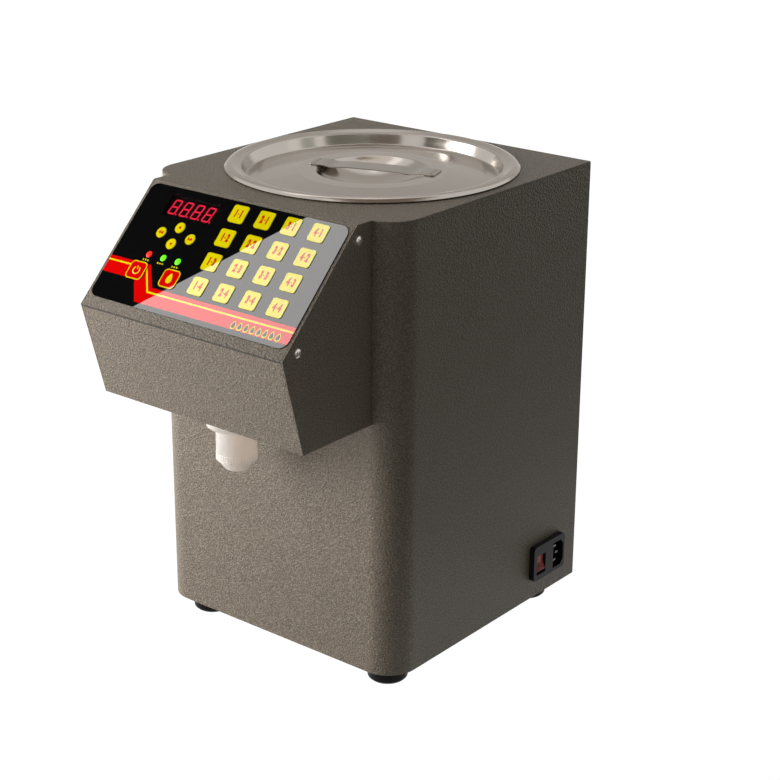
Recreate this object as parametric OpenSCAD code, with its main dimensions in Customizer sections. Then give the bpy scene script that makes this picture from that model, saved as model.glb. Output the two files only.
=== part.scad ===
// Countertop fructose dispenser: a lidded syrup pot hangs in a sheet-metal cabinet, a gear
// pump under it sends the syrup up to a nozzle, and a sloping keypad head stands out in front.
// Millimetres. X is across, Y points to the back, Z is up, and the feet stand on Z = 0.

/* [Cabinet] */
// Width of the cabinet
cab_w = 270; // [250:1:320]
// Depth of the cabinet, without the head
cab_d = 270; // [260:1:320]
// Height of the cabinet, without its feet
cab_h = 397; // [380:1:460]
// Radius of the two upright corners at the front
corner_r = 27.5; // [12:0.5:36]
// Thickness of the sheet metal
sheet = 1.2; // [0.8:0.1:1.6]
// Width of the folded flanges that carry the rear panel
rear_flange_w = 16; // [13:1:24]
// Depth of the rear panel inside the back edge
rear_recess = 3; // [2.6:0.2:6]
// Height of the base tray's folded edge
tray_h = 16; // [10:1:22]

/* [Feet and screws] */
// Height of a rubber foot
foot_h = 18; // [14:0.5:22]
// Diameter of a rubber foot
foot_d = 35; // [28:1:40]
// Distance from a foot's centre to the cabinet's sides
foot_inset = 31; // [24:1:40]
// Thread diameter of every case screw
screw_d = 4; // [3:0.5:5]
// Length of every case screw under its head
screw_len = 8; // [7:0.5:10]

/* [Head] */
// Width of the control head
head_w = 221; // [214:1:236]
// Depth of the flat strip on top of the head
head_top_d = 18; // [14:1:30]
// Length of the sloping keypad panel
panel_len = 124; // [120:1:140]
// Slope of the keypad panel against the table
panel_tilt = 45; // [38:1:50]
// Height of the keypad panel's folded lip
lip_h = 12; // [8:1:16]
// Height of the head
head_h = 170.5; // [160:1:190]
// Depth of the head at its underside
head_bottom_d = 83; // [70:1:92]
// Depth of the cover's side flanges
cover_flange = 15; // [13:1:20]

/* [Keypad] */
// Width of the keypad overlay
overlay_w = 214.5; // [208:0.5:214.5]
// Height of the keypad overlay along the slope
overlay_h = 111; // [110:1:116]
// Radius of the overlay's corners
overlay_r = 8; // [4:0.5:12]
// Thickness of the overlay
overlay_t = 0.8; // [0.5:0.1:1.2]
// Distance from the top of the slope to the overlay
overlay_s = 3.2; // [2:0.2:5]
// Side of a square number key
key_size = 16; // [14:0.5:17]
// Distance between the columns of number keys
key_pitch_x = 28.1; // [25:0.1:28.5]
// Distance between the rows of number keys
key_pitch_s = 22.9; // [21:0.1:23.5]
// Diameter of an arrow key
arrow_d = 9.6; // [8:0.2:11]
// Width of the two red keys
red_key_w = 18; // [15:0.5:20]
// Height of the two red keys
red_key_h = 16.8; // [14:0.5:17.5]
// Travel of every key
key_travel = 0.4; // [0.2:0.1:0.6]
// Height of the keys above the overlay
key_proud = 0.6; // [0.3:0.1:1]
// Width of the display window
window_w = 54; // [52:0.5:58]
// Height of the display window
window_h = 20; // [18:0.5:21]
// Diameter of an indicator lamp
led_d = 5.8; // [4:0.2:6.4]

/* [Syrup pot and lid] */
// Inner diameter of the pot
pot_d = 227; // [227:0.5:230]
// Depth of the pot
pot_depth = 205; // [180:1:215]
// Thickness of the pot's steel
pot_t = 0.8; // [0.6:0.1:1.2]
// Width of the pot's rim
rim_w = 8; // [5:0.5:9]
// Thickness of the sealing ring under the rim
gasket_t = 0.8; // [0.5:0.1:1.5]
// Diameter of the lid
lid_d = 254; // [250:1:262]
// Thickness of the lid's steel
lid_t = 0.8; // [0.6:0.1:1]
// Depth of the lid's well below its rim
lid_well = 10; // [8:0.5:14]
// Diameter of the finger bowl in the lid
bowl_d = 99; // [90:1:106]
// Depth of the finger bowl
bowl_depth = 15; // [12:0.5:20]
// Length of the strap handle
handle_len = 116; // [112:1:120]
// Width of the strap handle
handle_w = 22; // [14:1:24]
// Direction of the strap handle
handle_angle = 18.5; // [0:0.5:180]
// Distance of the strap handle from the lid's middle
handle_shift = 5.5; // [0:0.5:8]
// Dip of the strap handle on both sides of its middle
handle_dip = 1.2; // [0:0.2:3]
// Travel of the lid when it is lifted off
lid_lift = 250; // [100:10:300]

/* [Gear pump] */
// Number of teeth of each pump gear
gear_teeth = 12; // [10:1:14]
// Module of the pump gears
gear_module = 2.5; // [2:0.25:2.5]
// Width of the pump gears
gear_w = 18; // [12:1:24]
// Diameter of the pump shafts
shaft_d = 8; // [6:0.5:9]
// Thickness of the pump's walls
pump_wall = 8; // [7:0.5:10]
// Diameter of the pump motor
motor_d = 60; // [50:1:66]
// Length of the pump motor
motor_len = 92; // [70:1:100]
// Height of the motor's axis above the base tray
motor_axis_h = 52; // [46:1:60]
// Thickness of the pump bracket
bracket_t = 3; // [2:0.5:4]

/* [Hoses] */
// Outer diameter of the syrup hoses
hose_d = 12; // [11:0.5:14]
// Bore of the syrup hoses
hose_bore = 8; // [6.5:0.5:8.5]
// Length of hose pushed onto a spigot
spigot_len = 14; // [12:1:18]

/* [Nozzle] */
// Diameter of the nozzle's collar
collar_d = 49.4; // [42:0.5:56]
// Height of the nozzle's collar
collar_h = 14.1; // [12:0.1:20]
// Diameter of the nozzle cap
cap_d = 34.2; // [30:0.5:38]
// Height of the straight part of the nozzle cap
cap_h = 30.3; // [24:0.1:36]
// Height of the ribbed grip at the cap's lower edge
grip_h = 6.5; // [4:0.5:9]
// Number of ribs round the grip
grip_ribs = 48; // [24:1:60]
// Height of the cap's tapered end
tip_h = 8.5; // [6:0.5:14]
// Diameter of the cap's flat end
tip_d = 20; // [16:0.5:26]
// Diameter of the outlet
outlet_d = 8; // [5:0.5:10]

/* [Mains inlet] */
// Width of the inlet's flange along the cabinet
inlet_w = 49; // [48:0.5:56]
// Height of the inlet's flange
inlet_h = 34; // [33:0.5:40]
// Distance the flange stands out
inlet_proud = 5.5; // [3:0.5:5.5]
// Height of the socket opening
socket_h = 25.2; // [24:0.2:26]
// Width of the socket opening
socket_w = 16; // [15:0.2:17]
// Depth of the socket opening
socket_depth = 16; // [14:0.5:20]
// Width of the power rocker
rocker_w = 13; // [11:0.2:13.6]
// Radius of the power rocker about its pivot
rocker_r = 9.2; // [8.4:0.1:9.6]
// Angle between the rocker's two positions
rocker_swing = 20; // [10:1:24]

/* [Hidden] */
$fn = 64;
key_names = [for (row = [1 : 4]) for (column = [1 : 4]) str("key_", column, "_", row)];
arrow_names = ["key_left", "key_right", "key_up", "key_down"];

powder_coat = [0.36, 0.33, 0.28];
bare_steel = [0.75, 0.75, 0.74];
board_green = [0.10, 0.35, 0.20];
rubber_black = [0.07, 0.07, 0.07];
nylon_white = [0.93, 0.91, 0.89];
key_yellow = [0.98, 0.92, 0.15];
signal_red = [0.85, 0.08, 0.06];
hose_clear = [0.85, 0.86, 0.82];

// Clearances
seam = 0.3;          // between two pieces that are fitted side by side
running = 0.04;      // radial, round a turning shaft
loose = 0.25;        // round a key, a lamp or a window
screw_play = 0.05;   // radial, round a screw
cut = 1;             // overshoot of a cutter past the face that it cuts

// Main planes
head_reach = head_top_d + panel_len * cos(panel_tilt);
front_y = head_reach / 2 - cab_d / 2;
back_y = front_y + cab_d;
cab_y = (front_y + back_y) / 2;
top_z = foot_h + cab_h;
floor_z = foot_h + sheet;
inside_w = cab_w - 2 * sheet;
panel_back_y = back_y - rear_recess;
head_bottom_z = top_z - head_h;

// ---- Common shapes ----

// Extrudes a drawing of the YZ plane from x0 to x1
module across(x0, x1)
    translate([x0, 0, 0])
        rotate([90, 0, 90])
            linear_extrude(x1 - x0)
                children();

// Round bar along Y from y0 to y1
module bar_y(r, y0, y1)
    translate([0, y0, 0])
        rotate([-90, 0, 0])
            cylinder(r = r, h = y1 - y0);

// Round bar along X from x0 to x1
module bar_x(r, x0, x1)
    translate([x0, 0, 0])
        rotate([0, 90, 0])
            cylinder(r = r, h = x1 - x0);

// Rectangle of w by h about the origin with round corners
module round_rect(w, h, r) {
    square([w - 2 * r, h], center = true);
    square([w, h - 2 * r], center = true);
    for (x = [-1, 1], y = [-1, 1])
        translate([x * (w / 2 - r), y * (h / 2 - r)])
            circle(r);
}

// Plan of the cabinet, moved in by inset: the front corners are round, the rear ones square
module cabinet_plan(inset = 0) {
    r = corner_r - inset;
    half = cab_w / 2 - inset;
    translate([-half, front_y + corner_r])
        square([2 * half, cab_d - corner_r - inset]);
    translate([r - half, front_y + inset])
        square([2 * (half - r), corner_r]);
    for (side = [-1, 1])
        translate([side * (half - r), front_y + corner_r])
            circle(r);
}

// Pan-head screw under the origin, its shank along -Z and a cross slot in its head
head_r = 0.9 * screw_d;
head_t = 0.55 * screw_d;
module pan_screw() {
    slot_l = 1.1 * screw_d;
    slot_w = 0.22 * screw_d;
    translate([0, 0, -screw_len])
        cylinder(d = screw_d, h = screw_len + cut / 10);
    difference() {
        intersection() {
            cylinder(r = head_r, h = head_t);
            translate([0, 0, head_t - 2 * head_r])
                sphere(2 * head_r);
        }
        for (turn = [0, 90])
            rotate(turn)
                translate([-slot_l / 2, -slot_w / 2, head_t / 2])
                    cube([slot_l, slot_w, head_t]);
    }
}

// Hole for a case screw along Z, through a sheet at the origin
module screw_hole(depth = screw_len)
    translate([0, 0, -depth])
        cylinder(d = screw_d + 2 * screw_play, h = depth + cut);

// Puts its children at each case screw, with +Z pointing out of the screw's head
head_screw_s = [7.9, panel_len - 13.9];
head_screw_n = 9.7;
rear_screw_z = [floor_z + 30, (floor_z + top_z) / 2, top_z - 30];
rear_screw_x = inside_w / 2 - rear_flange_w / 2;
foot_head_z = foot_h - 6;
module at_head_screws()
    for (side = [0, 1], s = head_screw_s)
        mirror([side, 0, 0])
            on_slope(head_w / 2, s, -head_screw_n)
                rotate([0, 90, 0])
                    children();
module at_rear_screws()
    for (side = [-1, 1], z = rear_screw_z)
        translate([side * rear_screw_x, panel_back_y, z])
            rotate([-90, 0, 0])
                children();
module at_feet()
    for (x = [-1, 1], y = [front_y + foot_inset, back_y - foot_inset])
        translate([x * (cab_w / 2 - foot_inset), y, 0])
            children();
module at_bracket_screws()
    for (side = [-1, 1])
        translate([side * bracket_screw_x, bracket_y + bracket_foot / 2, floor_z + bracket_t])
            children();
module at_supply_screws()
    for (side = [-1, 1])
        translate([supply_x, supply_y + side * (supply_l / 2 + ear_l / 2), floor_z + ear_t])
            children();

// ---- Cabinet ----

// Window through the cabinet's front into the head
head_window_w = head_w - 50;
head_window_h = 125;
module head_window()
    translate([-head_window_w / 2, front_y - cut, top_z - 35 - head_window_h])
        cube([head_window_w, sheet + 2 * cut, head_window_h]);

module cabinet_shell() color(powder_coat)
    difference() {
        translate([0, 0, foot_h])
            linear_extrude(cab_h - sheet)
                shell_plan();
        head_window();
        inlet_cutout();
        at_rear_screws() screw_hole();
    }

// Sheet wrapped round the front and sides, with flanges folded in at the back
module shell_plan() {
    difference() {
        cabinet_plan();
        cabinet_plan(sheet);
        translate([-inside_w / 2, back_y - 2 * sheet])
            square([inside_w, 3 * sheet]);
    }
    flange = rear_flange_w + sheet / 2;
    for (side = [-1, 1])
        translate([side * (inside_w + sheet - flange) / 2, panel_back_y - 1.5 * sheet])
            square([flange, sheet], center = true);
}

pot_hole_r = pot_d / 2 + pot_t + 0.7;
module top_plate() color(powder_coat) {
    fold_h = 12;
    difference() {
        translate([0, 0, top_z - sheet])
            linear_extrude(sheet)
                cabinet_plan();
        translate([0, cab_y, top_z - sheet - cut])
            cylinder(r = pot_hole_r, h = sheet + 2 * cut, $fn = 128);
    }
    translate([seam - inside_w / 2 + rear_flange_w, panel_back_y - 2 * sheet, top_z - fold_h])
        cube([inside_w - 2 * (rear_flange_w + seam), sheet, fold_h - sheet / 2]);
}

// Tray that closes the bottom, with vents under the power supply
module base_tray() color(powder_coat)
    difference() {
        union() {
            translate([0, 0, foot_h])
                linear_extrude(sheet)
                    intersection() {
                        cabinet_plan(sheet + seam);
                        tray_depth();
                    }
            translate([0, 0, foot_h])
                linear_extrude(tray_h)
                    intersection() {
                        tray_depth();
                        difference() {
                            cabinet_plan(sheet + seam);
                            cabinet_plan(2 * sheet + seam);
                        }
                    }
        }
        at_feet() translate([0, 0, foot_h]) screw_hole_both();
        at_bracket_screws() screw_hole();
        at_supply_screws() screw_hole();
        for (row = [-3 : 3])
            translate([supply_x + row * 9, supply_y, foot_h - cut])
                linear_extrude(3 * cut + sheet)
                    round_rect(4, supply_l - 30, 1.9);
    }

// The tray ends in front of the rear panel's flanges
module tray_depth()
    translate([-cab_w / 2, front_y])
        square([cab_w, panel_back_y - 2 * sheet - seam - front_y]);

// Screw hole through the tray, open on both sides
module screw_hole_both()
    translate([0, 0, -cut])
        cylinder(d = screw_d + 2 * screw_play, h = sheet + 2 * cut);

// Rear panel between the side walls, with rows of cooling slots
vent_rows = 9;
vent_l = 46;
vent_w = 3.4;
module rear_panel() color(powder_coat)
    difference() {
        translate([seam - inside_w / 2, panel_back_y - sheet, foot_h + seam])
            cube([inside_w - 2 * seam, sheet, cab_h - sheet - 2 * seam]);
        at_rear_screws() screw_hole();
        for (side = [-1, 1], row = [0 : vent_rows - 1])
            translate([side * 0.75 * vent_l, panel_back_y + cut, foot_h + 40 + row * 3 * vent_w])
                rotate([90, 0, 0])
                    linear_extrude(sheet + 2 * cut)
                        round_rect(vent_l, vent_w, vent_w / 2 - 0.1);
    }

module feet() color(rubber_black)
    at_feet() foot();

// Low rubber foot with a chamfered edge and a pocket for its screw
module foot() {
    chamfer = 2.5;
    difference() {
        rotate_extrude()
            polygon([[0, 0], [foot_d / 2 - chamfer, 0], [foot_d / 2, chamfer],
                [foot_d / 2, foot_h - 1], [foot_d / 2 - 1, foot_h], [0, foot_h]]);
        translate([0, 0, -cut])
            cylinder(r = head_r + 1.5, h = foot_head_z + cut);
        cylinder(d = screw_d + 2 * screw_play, h = foot_h + cut);
    }
}

module case_screws() color(bare_steel) {
    at_head_screws() pan_screw();
    at_rear_screws() pan_screw();
    at_feet() translate([0, 0, foot_head_z]) mirror([0, 0, 1]) pan_screw();
    at_bracket_screws() pan_screw();
    at_supply_screws() pan_screw();
}

// ---- Head ----

// Side view of the head in the YZ plane, counter-clockwise from the cabinet's top
slope_top = [front_y - head_top_d, top_z];
slope_foot = slope_top - panel_len * [cos(panel_tilt), sin(panel_tilt)];
head_foot = [front_y - head_bottom_d, head_bottom_z];
head_profile = [[front_y, top_z], slope_top, slope_foot, head_foot, [front_y, head_bottom_z]];

// Line a to b moved to its left by t, and the meeting point of two lines
function left_of(a, b, t) =
    let (d = (b - a) / norm(b - a), n = [-d.y, d.x]) [a + n * t, b + n * t];
function meet(p, q) =
    let (u = p[1] - p[0], v = q[1] - q[0], w = q[0] - p[0])
    p[0] + u * (w.x * v.y - w.y * v.x) / (u.x * v.y - u.y * v.x);
// Corner i of a counter-clockwise outline, moved in by t on both of its sides
function inner(points, i, t) =
    let (n = len(points), a = points[(i + n - 1) % n], b = points[i], c = points[(i + 1) % n])
    meet(left_of(a, b, t), left_of(b, c, t));

// Unit steps down the head's front face and into the head, and the seam under the lip
front_down = (head_foot - slope_foot) / norm(head_foot - slope_foot);
front_in = [-front_down.y, front_down.x];
lip_end = slope_foot + lip_h * front_down;
head_inside = head_w / 2 - sheet;

// Puts its children on the slope: x across, s down the slope, n out of the panel
module on_slope(x = 0, s = 0, n = 0)
    translate([0, slope_top.x, slope_top.y])
        rotate([panel_tilt, 0, 0])
            translate([x, -s, n])
                children();

module head_housing() color(powder_coat)
    difference() {
        union() {
            for (side = [0, 1])
                mirror([side, 0, 0])
                    across(head_inside, head_w / 2)
                        polygon(head_profile);
            across(-head_inside - cut / 10, head_inside + cut / 10)
                housing_sections();
            for (side = [0, 1])
                mirror([side, 0, 0])
                    translate([head_inside - rear_flange_w, front_y - sheet, head_bottom_z])
                        cube([rear_flange_w + cut / 10, sheet, head_h]);
        }
        translate([0, nozzle_y, head_bottom_z - cut])
            cylinder(d = neck_d + 2 * screw_play, h = sheet + 2 * cut);
        at_head_screws() screw_hole(sheet + cut);
    }

// Sections of the folded sheet: top strip, front with the step behind the lip, underside
module housing_sections() {
    step_in = front_in * sheet;
    step_down = front_down * 8;
    seam_down = front_down * seam;
    strip_end = slope_top + [seam, 0];
    polygon([head_profile[0], strip_end, inner(head_profile, 1, sheet) + [seam, 0],
        head_profile[0] - [0, sheet]]);
    polygon([lip_end + seam_down, head_foot, inner(head_profile, 3, sheet),
        lip_end + seam_down + step_in]);
    polygon([lip_end - step_down + step_in * 1.1, lip_end + step_down + step_in * 0.9,
        lip_end + step_down + step_in * 2, lip_end - step_down + step_in * 2]);
    polygon([head_foot, head_profile[4], inner(head_profile, 4, sheet) + [sheet, 0],
        inner(head_profile, 3, sheet)]);
}

cover_half = head_inside - seam;
module head_cover() color(powder_coat)
    difference() {
        union() {
            across(-cover_half, cover_half)
                polygon([slope_top, slope_foot, lip_end, lip_end + front_in * sheet,
                    inner(head_profile, 2, sheet), inner(head_profile, 1, sheet)]);
            for (side = [0, 1])
                mirror([side, 0, 0])
                    on_slope(cover_half - sheet, panel_len - 4, -cover_flange)
                        cube([sheet, panel_len - 8, cover_flange - sheet / 2]);
        }
        on_slope(0, 0, -sheet - cut)
            linear_extrude(sheet + 2 * cut)
                panel_openings(key_lip + loose);
        at_head_screws() screw_hole();
    }

// ---- Keypad: every place on it is [x, s], across and down the slope ----

key_lip = 1;                          // flange that keeps a key under the overlay
key_play = 0.05;                      // between that flange and the overlay
key_first = [-3.5, 14.4];             // centre of key 1-1
arrow_place = [-53.2, 45.8];          // middle of the four arrow keys
arrow_reach = [16.4, 7.8];            // from that middle to an arrow key
red_key_s = 83.2;                     // row of the two red keys
red_key_x = [-72.5, -35];             // power key and start key
led_s = 67;                           // row of the three lamps
led_x = [-69.6, -53.3, -37];
window_place = [-53.6, 20];           // middle of the display window

function key_place(column, row) =
    key_first + [(column - 1) * key_pitch_x, (row - 1) * key_pitch_s];
square_places = [for (row = [1 : 4]) for (column = [1 : 4]) key_place(column, row)];
arrow_places = [for (step = [[-1, 0], [1, 0], [0, -1], [0, 1]])
    arrow_place + [step.x * arrow_reach.x, step.y * arrow_reach.y]];
red_places = [for (x = red_key_x) [x, red_key_s]];
switch_places = concat(square_places, arrow_places, red_places);

// Outlines of the openings, each made larger by grow on every side
module panel_openings(grow) {
    for (p = square_places) at_place(p) square_outline(grow);
    for (p = arrow_places) at_place(p) arrow_outline(grow);
    for (p = red_places) at_place(p) red_outline(grow);
    for (x = led_x) at_place([x, led_s]) circle(led_d / 2 + min(grow, loose));
    at_place(window_place) round_rect(window_w + 2 * grow, window_h + 2 * grow, 1 + grow);
}
module at_place(p) translate([p.x, -p.y]) children();
module square_outline(grow) round_rect(key_size + 2 * grow, key_size + 2 * grow, 2.2 + grow);
module arrow_outline(grow) circle(arrow_d / 2 + grow);
module red_outline(grow) round_rect(red_key_w + 2 * grow, red_key_h + 2 * grow, 4 + grow);

// Printed film over the whole panel, cut out for keys, lamps and window
module keypad_overlay() color([0.05, 0.05, 0.05])
    on_slope()
        linear_extrude(overlay_t)
            difference() {
                at_place([0, overlay_s + overlay_h / 2])
                    round_rect(overlay_w, overlay_h, overlay_r);
                panel_openings(loose);
            }

// Smoked window in the overlay, with a wider foot under it
module display_window() color([0.25, 0.02, 0.03, 0.6])
    on_slope(window_place.x, window_place.y) {
        linear_extrude(overlay_t)
            round_rect(window_w, window_h, 1);
        translate([0, 0, -sheet])
            linear_extrude(sheet)
                round_rect(window_w + 2 * key_lip, window_h + 2 * key_lip, 1 + key_lip);
    }

// Heights under the panel's face: switch top, board, all measured along its normal
switch_gap = 1.4;
switch_n = -sheet - switch_gap;
switch_h = 3.5;
switch_size = 6;
plunger_d = 4;
board_n = switch_n - switch_h;
board_t = 1.6;

// Key: cap, flange under the overlay, and plunger into its switch; children give the outlines
plunger_in = 1.4;
module key_body(place, tint) color(tint)
    on_slope(place.x, place.y) {
        translate([0, 0, -key_lip])
            linear_extrude(key_lip + overlay_t + key_proud)
                children(0);
        translate([0, 0, -key_lip])
            linear_extrude(key_lip - key_play)
                children(1);
        translate([0, 0, switch_n - plunger_in])
            cylinder(d = plunger_d, h = plunger_in - switch_n - key_lip / 2);
    }
module number_key(column, row)
    key_body(key_place(column, row), key_yellow) {
        square_outline(0);
        square_outline(key_lip);
    }
module arrow_key(i)
    key_body(arrow_places[i], key_yellow) {
        arrow_outline(0);
        arrow_outline(key_lip);
    }
module red_key(i)
    key_body(red_places[i], signal_red) {
        red_outline(0);
        red_outline(key_lip);
    }

// Well in each switch takes the plunger down to the end of its travel
module tactile_switches() color(rubber_black)
    for (p = switch_places)
        on_slope(p.x, p.y, board_n)
            difference() {
                translate([-switch_size / 2, -switch_size / 2, 0])
                    cube([switch_size, switch_size, switch_h]);
                translate([0, 0, switch_h - plunger_in - key_travel - loose])
                    cylinder(d = plunger_d + 2 * loose, h = switch_h);
            }

spacer_hole_d = 3.2;
spacer_len = -sheet - board_n;
keypad_spacers = [for (x = [-1, 1]) for (s = [8, panel_len - 12]) [x * (cover_half - 14), s]];
module keypad_board() color(board_green)
    on_slope(0, 0, board_n - board_t)
        linear_extrude(board_t)
            difference() {
                at_place([0, panel_len / 2 - 2])
                    square([2 * (cover_half - 10), panel_len - 12], center = true);
                for (p = keypad_spacers)
                    at_place(p) circle(d = spacer_hole_d);
            }

// Nylon spacers: a post, a neck through the board and a snap end behind it
module board_spacers() color(nylon_white) {
    for (p = keypad_spacers)
        on_slope(p.x, p.y, -sheet) mirror([0, 0, 1]) board_spacer();
    for (x = [-1, 1], y = [-1, 1])
        translate([control_x + x * control_hole_x, control_y + y * control_hole_y, floor_z])
            board_spacer();
}
module board_spacer() {
    cylinder(d = 6, h = spacer_len);
    cylinder(d = spacer_hole_d - 2 * screw_play, h = spacer_len + board_t + 1);
    translate([0, 0, spacer_len + board_t])
        cylinder(d1 = spacer_hole_d + 1.4, d2 = spacer_hole_d - 1, h = 2);
}

// Four-digit lamp block under the window, with its segments standing out a little
digit_pitch = 12.7;
digit_h = 14.2;
digit_half_w = 3.6;        // from a digit's middle to its upright bars
segment_w = 1.5;
segment_gap = 0.35;
segment_out = 0.3;
digit_block_h = 19;
module display_module() color([0.12, 0.02, 0.03])
    on_slope(window_place.x, window_place.y, board_n) {
        block_t = -sheet - 0.4 - board_n;
        translate([-2 * digit_pitch, -digit_block_h / 2, 0])
            cube([4 * digit_pitch, digit_block_h, block_t]);
        for (digit = [-1.5 : 1.5])
            translate([digit * digit_pitch, 0, block_t - cut])
                linear_extrude(cut + segment_out)
                    digit_segments();
    }

// The seven bars of one digit and its point
module digit_segments() {
    half_h = (digit_h - segment_w) / 2;
    for (y = [-half_h, 0, half_h])
        translate([0, y])
            square([2 * (digit_half_w - segment_w / 2 - segment_gap), segment_w], center = true);
    for (x = [-1, 1], y = [-1, 1])
        translate([x * digit_half_w, y * half_h / 2])
            square([segment_w, half_h - segment_w - segment_gap], center = true);
    translate([digit_half_w + 1.2 * segment_w, -half_h])
        circle(d = segment_w);
}

// Round lamps on the board, their domes level with the overlay
module indicator_lamps() color([0.2, 0.8, 0.2])
    for (x = led_x)
        on_slope(x, led_s, board_n) {
            dome_n = overlay_t - board_n - 0.6;
            cylinder(d = led_d, h = dome_n);
            translate([0, 0, dome_n])
                intersection() {
                    translate([0, 0, 1.2 - led_d * 0.95])
                        sphere(led_d * 0.95);
                    cylinder(d = led_d, h = 1.2);
                }
        }

// ---- Syrup pot and lid ----

pot_r = pot_d / 2;
rim_z = top_z + gasket_t + pot_t;
rim_r = pot_r + pot_t + rim_w;
pot_floor_z = rim_z - pot_depth;
pot_corner = 14;
pot_outlet = [72, -50];          // outlet's place from the pot's middle
spigot_r = hose_bore / 2 - screw_play;
spigot_wall = 1.2;

// Drawn steel pot: side wall with a round lower corner, a flat rim and a bottom spigot
module syrup_pot() color(bare_steel)
    translate([0, cab_y, 0])
        difference() {
            union() {
                rotate_extrude($fn = 128)
                    pot_section();
                translate([pot_outlet.x, pot_outlet.y, pot_floor_z - pot_t - spigot_len])
                    cylinder(r = spigot_r, h = spigot_len + pot_t / 2);
            }
            translate([pot_outlet.x, pot_outlet.y, pot_floor_z - pot_t - spigot_len - cut])
                cylinder(r = spigot_r - spigot_wall, h = spigot_len + 2 * cut + pot_t);
        }
module pot_section() {
    corner = pot_r - pot_corner;
    translate([pot_r, pot_floor_z + pot_corner])
        square([pot_t, rim_z - pot_floor_z - pot_corner]);
    translate([pot_r, rim_z - pot_t])
        square([rim_r - pot_r, pot_t]);
    translate([0, pot_floor_z - pot_t])
        square([corner, pot_t]);
    intersection() {
        translate([corner, pot_floor_z - pot_t])
            square(pot_corner + pot_t);
        translate([corner, pot_floor_z + pot_corner])
            difference() {
                circle(pot_corner + pot_t);
                circle(pot_corner);
                translate([-pot_r, 0])
                    square([2 * pot_r, pot_corner + 1]);
            }
    }
}

module pot_gasket() color(nylon_white)
    translate([0, cab_y, top_z])
        difference() {
            cylinder(r = rim_r - 1, h = gasket_t, $fn = 128);
            translate([0, 0, -cut])
                cylinder(r = pot_hole_r + 0.5, h = gasket_t + 2 * cut, $fn = 128);
        }

// Height of the lid's upper face along its radius, from the middle to the outer edge
lid_play = 0.9;                  // between the lid's well and the pot's wall
lid_seat = rim_z + lid_t;        // upper face where the lid sits on the pot's rim
seat_w = 2.5;                    // flat ring of the lid that rests there
lid_well_r = pot_r - lid_play;
well_floor_r = lid_well_r - 4;
lid_deck_z = lid_seat - lid_well / 2 - 0.5;
bowl_r = bowl_d / 2;
bowl_steps = 8;
function bowl_z(r) = lid_deck_z - bowl_depth * (1 - pow(r / bowl_r, 2));
lid_line = concat(
    [for (i = [0 : bowl_steps]) let (r = bowl_r * i / bowl_steps) [r, bowl_z(r)]],
    [[bowl_r + 15, lid_deck_z], [well_floor_r - 10, lid_seat - lid_well],
        [well_floor_r, lid_seat - lid_well], [lid_well_r, lid_seat],
        [lid_well_r + seat_w, lid_seat], [lid_d / 2 - 6, lid_seat + 2], [lid_d / 2 - 2.5, lid_seat + 1],
        [lid_d / 2, rim_z - gasket_t / 2]]);

// An open line moved to its right by t
function beside(line, t) =
    let (last = len(line) - 1)
    [for (i = [0 : last])
        i == 0 ? left_of(line[0], line[1], -t)[0]
        : i == last ? left_of(line[last - 1], line[last], -t)[1]
        : meet(left_of(line[i - 1], line[i], -t), left_of(line[i], line[i + 1], -t))];
function reversed(list) = [for (i = [len(list) - 1 : -1 : 0]) list[i]];

module lid() color(bare_steel) {
    under = beside(lid_line, lid_t);
    on_axis = [[0, lid_line[0].y - lid_t]];
    translate([0, cab_y, 0])
        rotate_extrude($fn = 128)
            polygon(concat(lid_line, reversed([for (i = [1 : len(under) - 1]) under[i]]), on_axis));
}

// Flat strap spot-welded to the lid on both sides of the bowl, with a slight dip at each end
handle_t = 1.2;
handle_r = 3;
module lid_handle() color(bare_steel)
    translate([0, cab_y, lid_deck_z])
        rotate(handle_angle)
            translate([0, handle_shift, 0])
                intersection() {
                    translate([0, 0, -handle_dip - cut])
                        linear_extrude(handle_dip + cut + 2 * handle_t)
                            round_rect(handle_len, handle_w, handle_r);
                    translate([0, handle_w, 0])
                        rotate([90, 0, 0])
                            linear_extrude(2 * handle_w)
                                strap_side();
                }
module strap_side() {
    reach = sqrt(pow(bowl_r, 2) - pow(handle_w / 2 + handle_shift, 2)) - 1;
    steps = 40;
    line = concat(
        [[-handle_len / 2, 0]],
        [for (i = [0 : steps]) let (u = 2 * i / steps - 1)
            [reach * u, -handle_dip * (1 - cos(360 * pow(abs(u), 3))) / 2]],
        [[handle_len / 2, 0]]);
    polygon(concat(line, reversed([for (p = line) p + [0, handle_t]])));
}

// ---- Gear pump ----

pitch_r = gear_teeth * gear_module / 2;
gear_r = pitch_r + 0.9 * gear_module;
root_r = pitch_r - 1.15 * gear_module;
pressure_angle = 25;
backlash = 0.16;
base_r = pitch_r * cos(pressure_angle);
chamber_r = gear_r + 0.1;
axis_z = floor_z + motor_axis_h;
idler_z = axis_z + 2 * pitch_r;
port_z = (axis_z + idler_z) / 2;
port_y = cab_y + pot_outlet.y;
side_play = 0.1;                              // at each end of the gears
chamber_back_y = port_y + gear_w / 2 + side_play;
pump_front_y = port_y - gear_w / 2 - side_play;
bracket_y = chamber_back_y + pump_wall;
gearbox_y = bracket_y + bracket_t;
gearbox_t = 16;
pump_w = 2 * (chamber_r + pump_wall);
pump_h = pump_w + 2 * pitch_r;
bearing_depth = pump_wall - 2;
bolt_d = 4;
bolt_inset = 5;
bracket_foot = 34;
bracket_screw_x = pump_w / 2 + 6;

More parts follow.
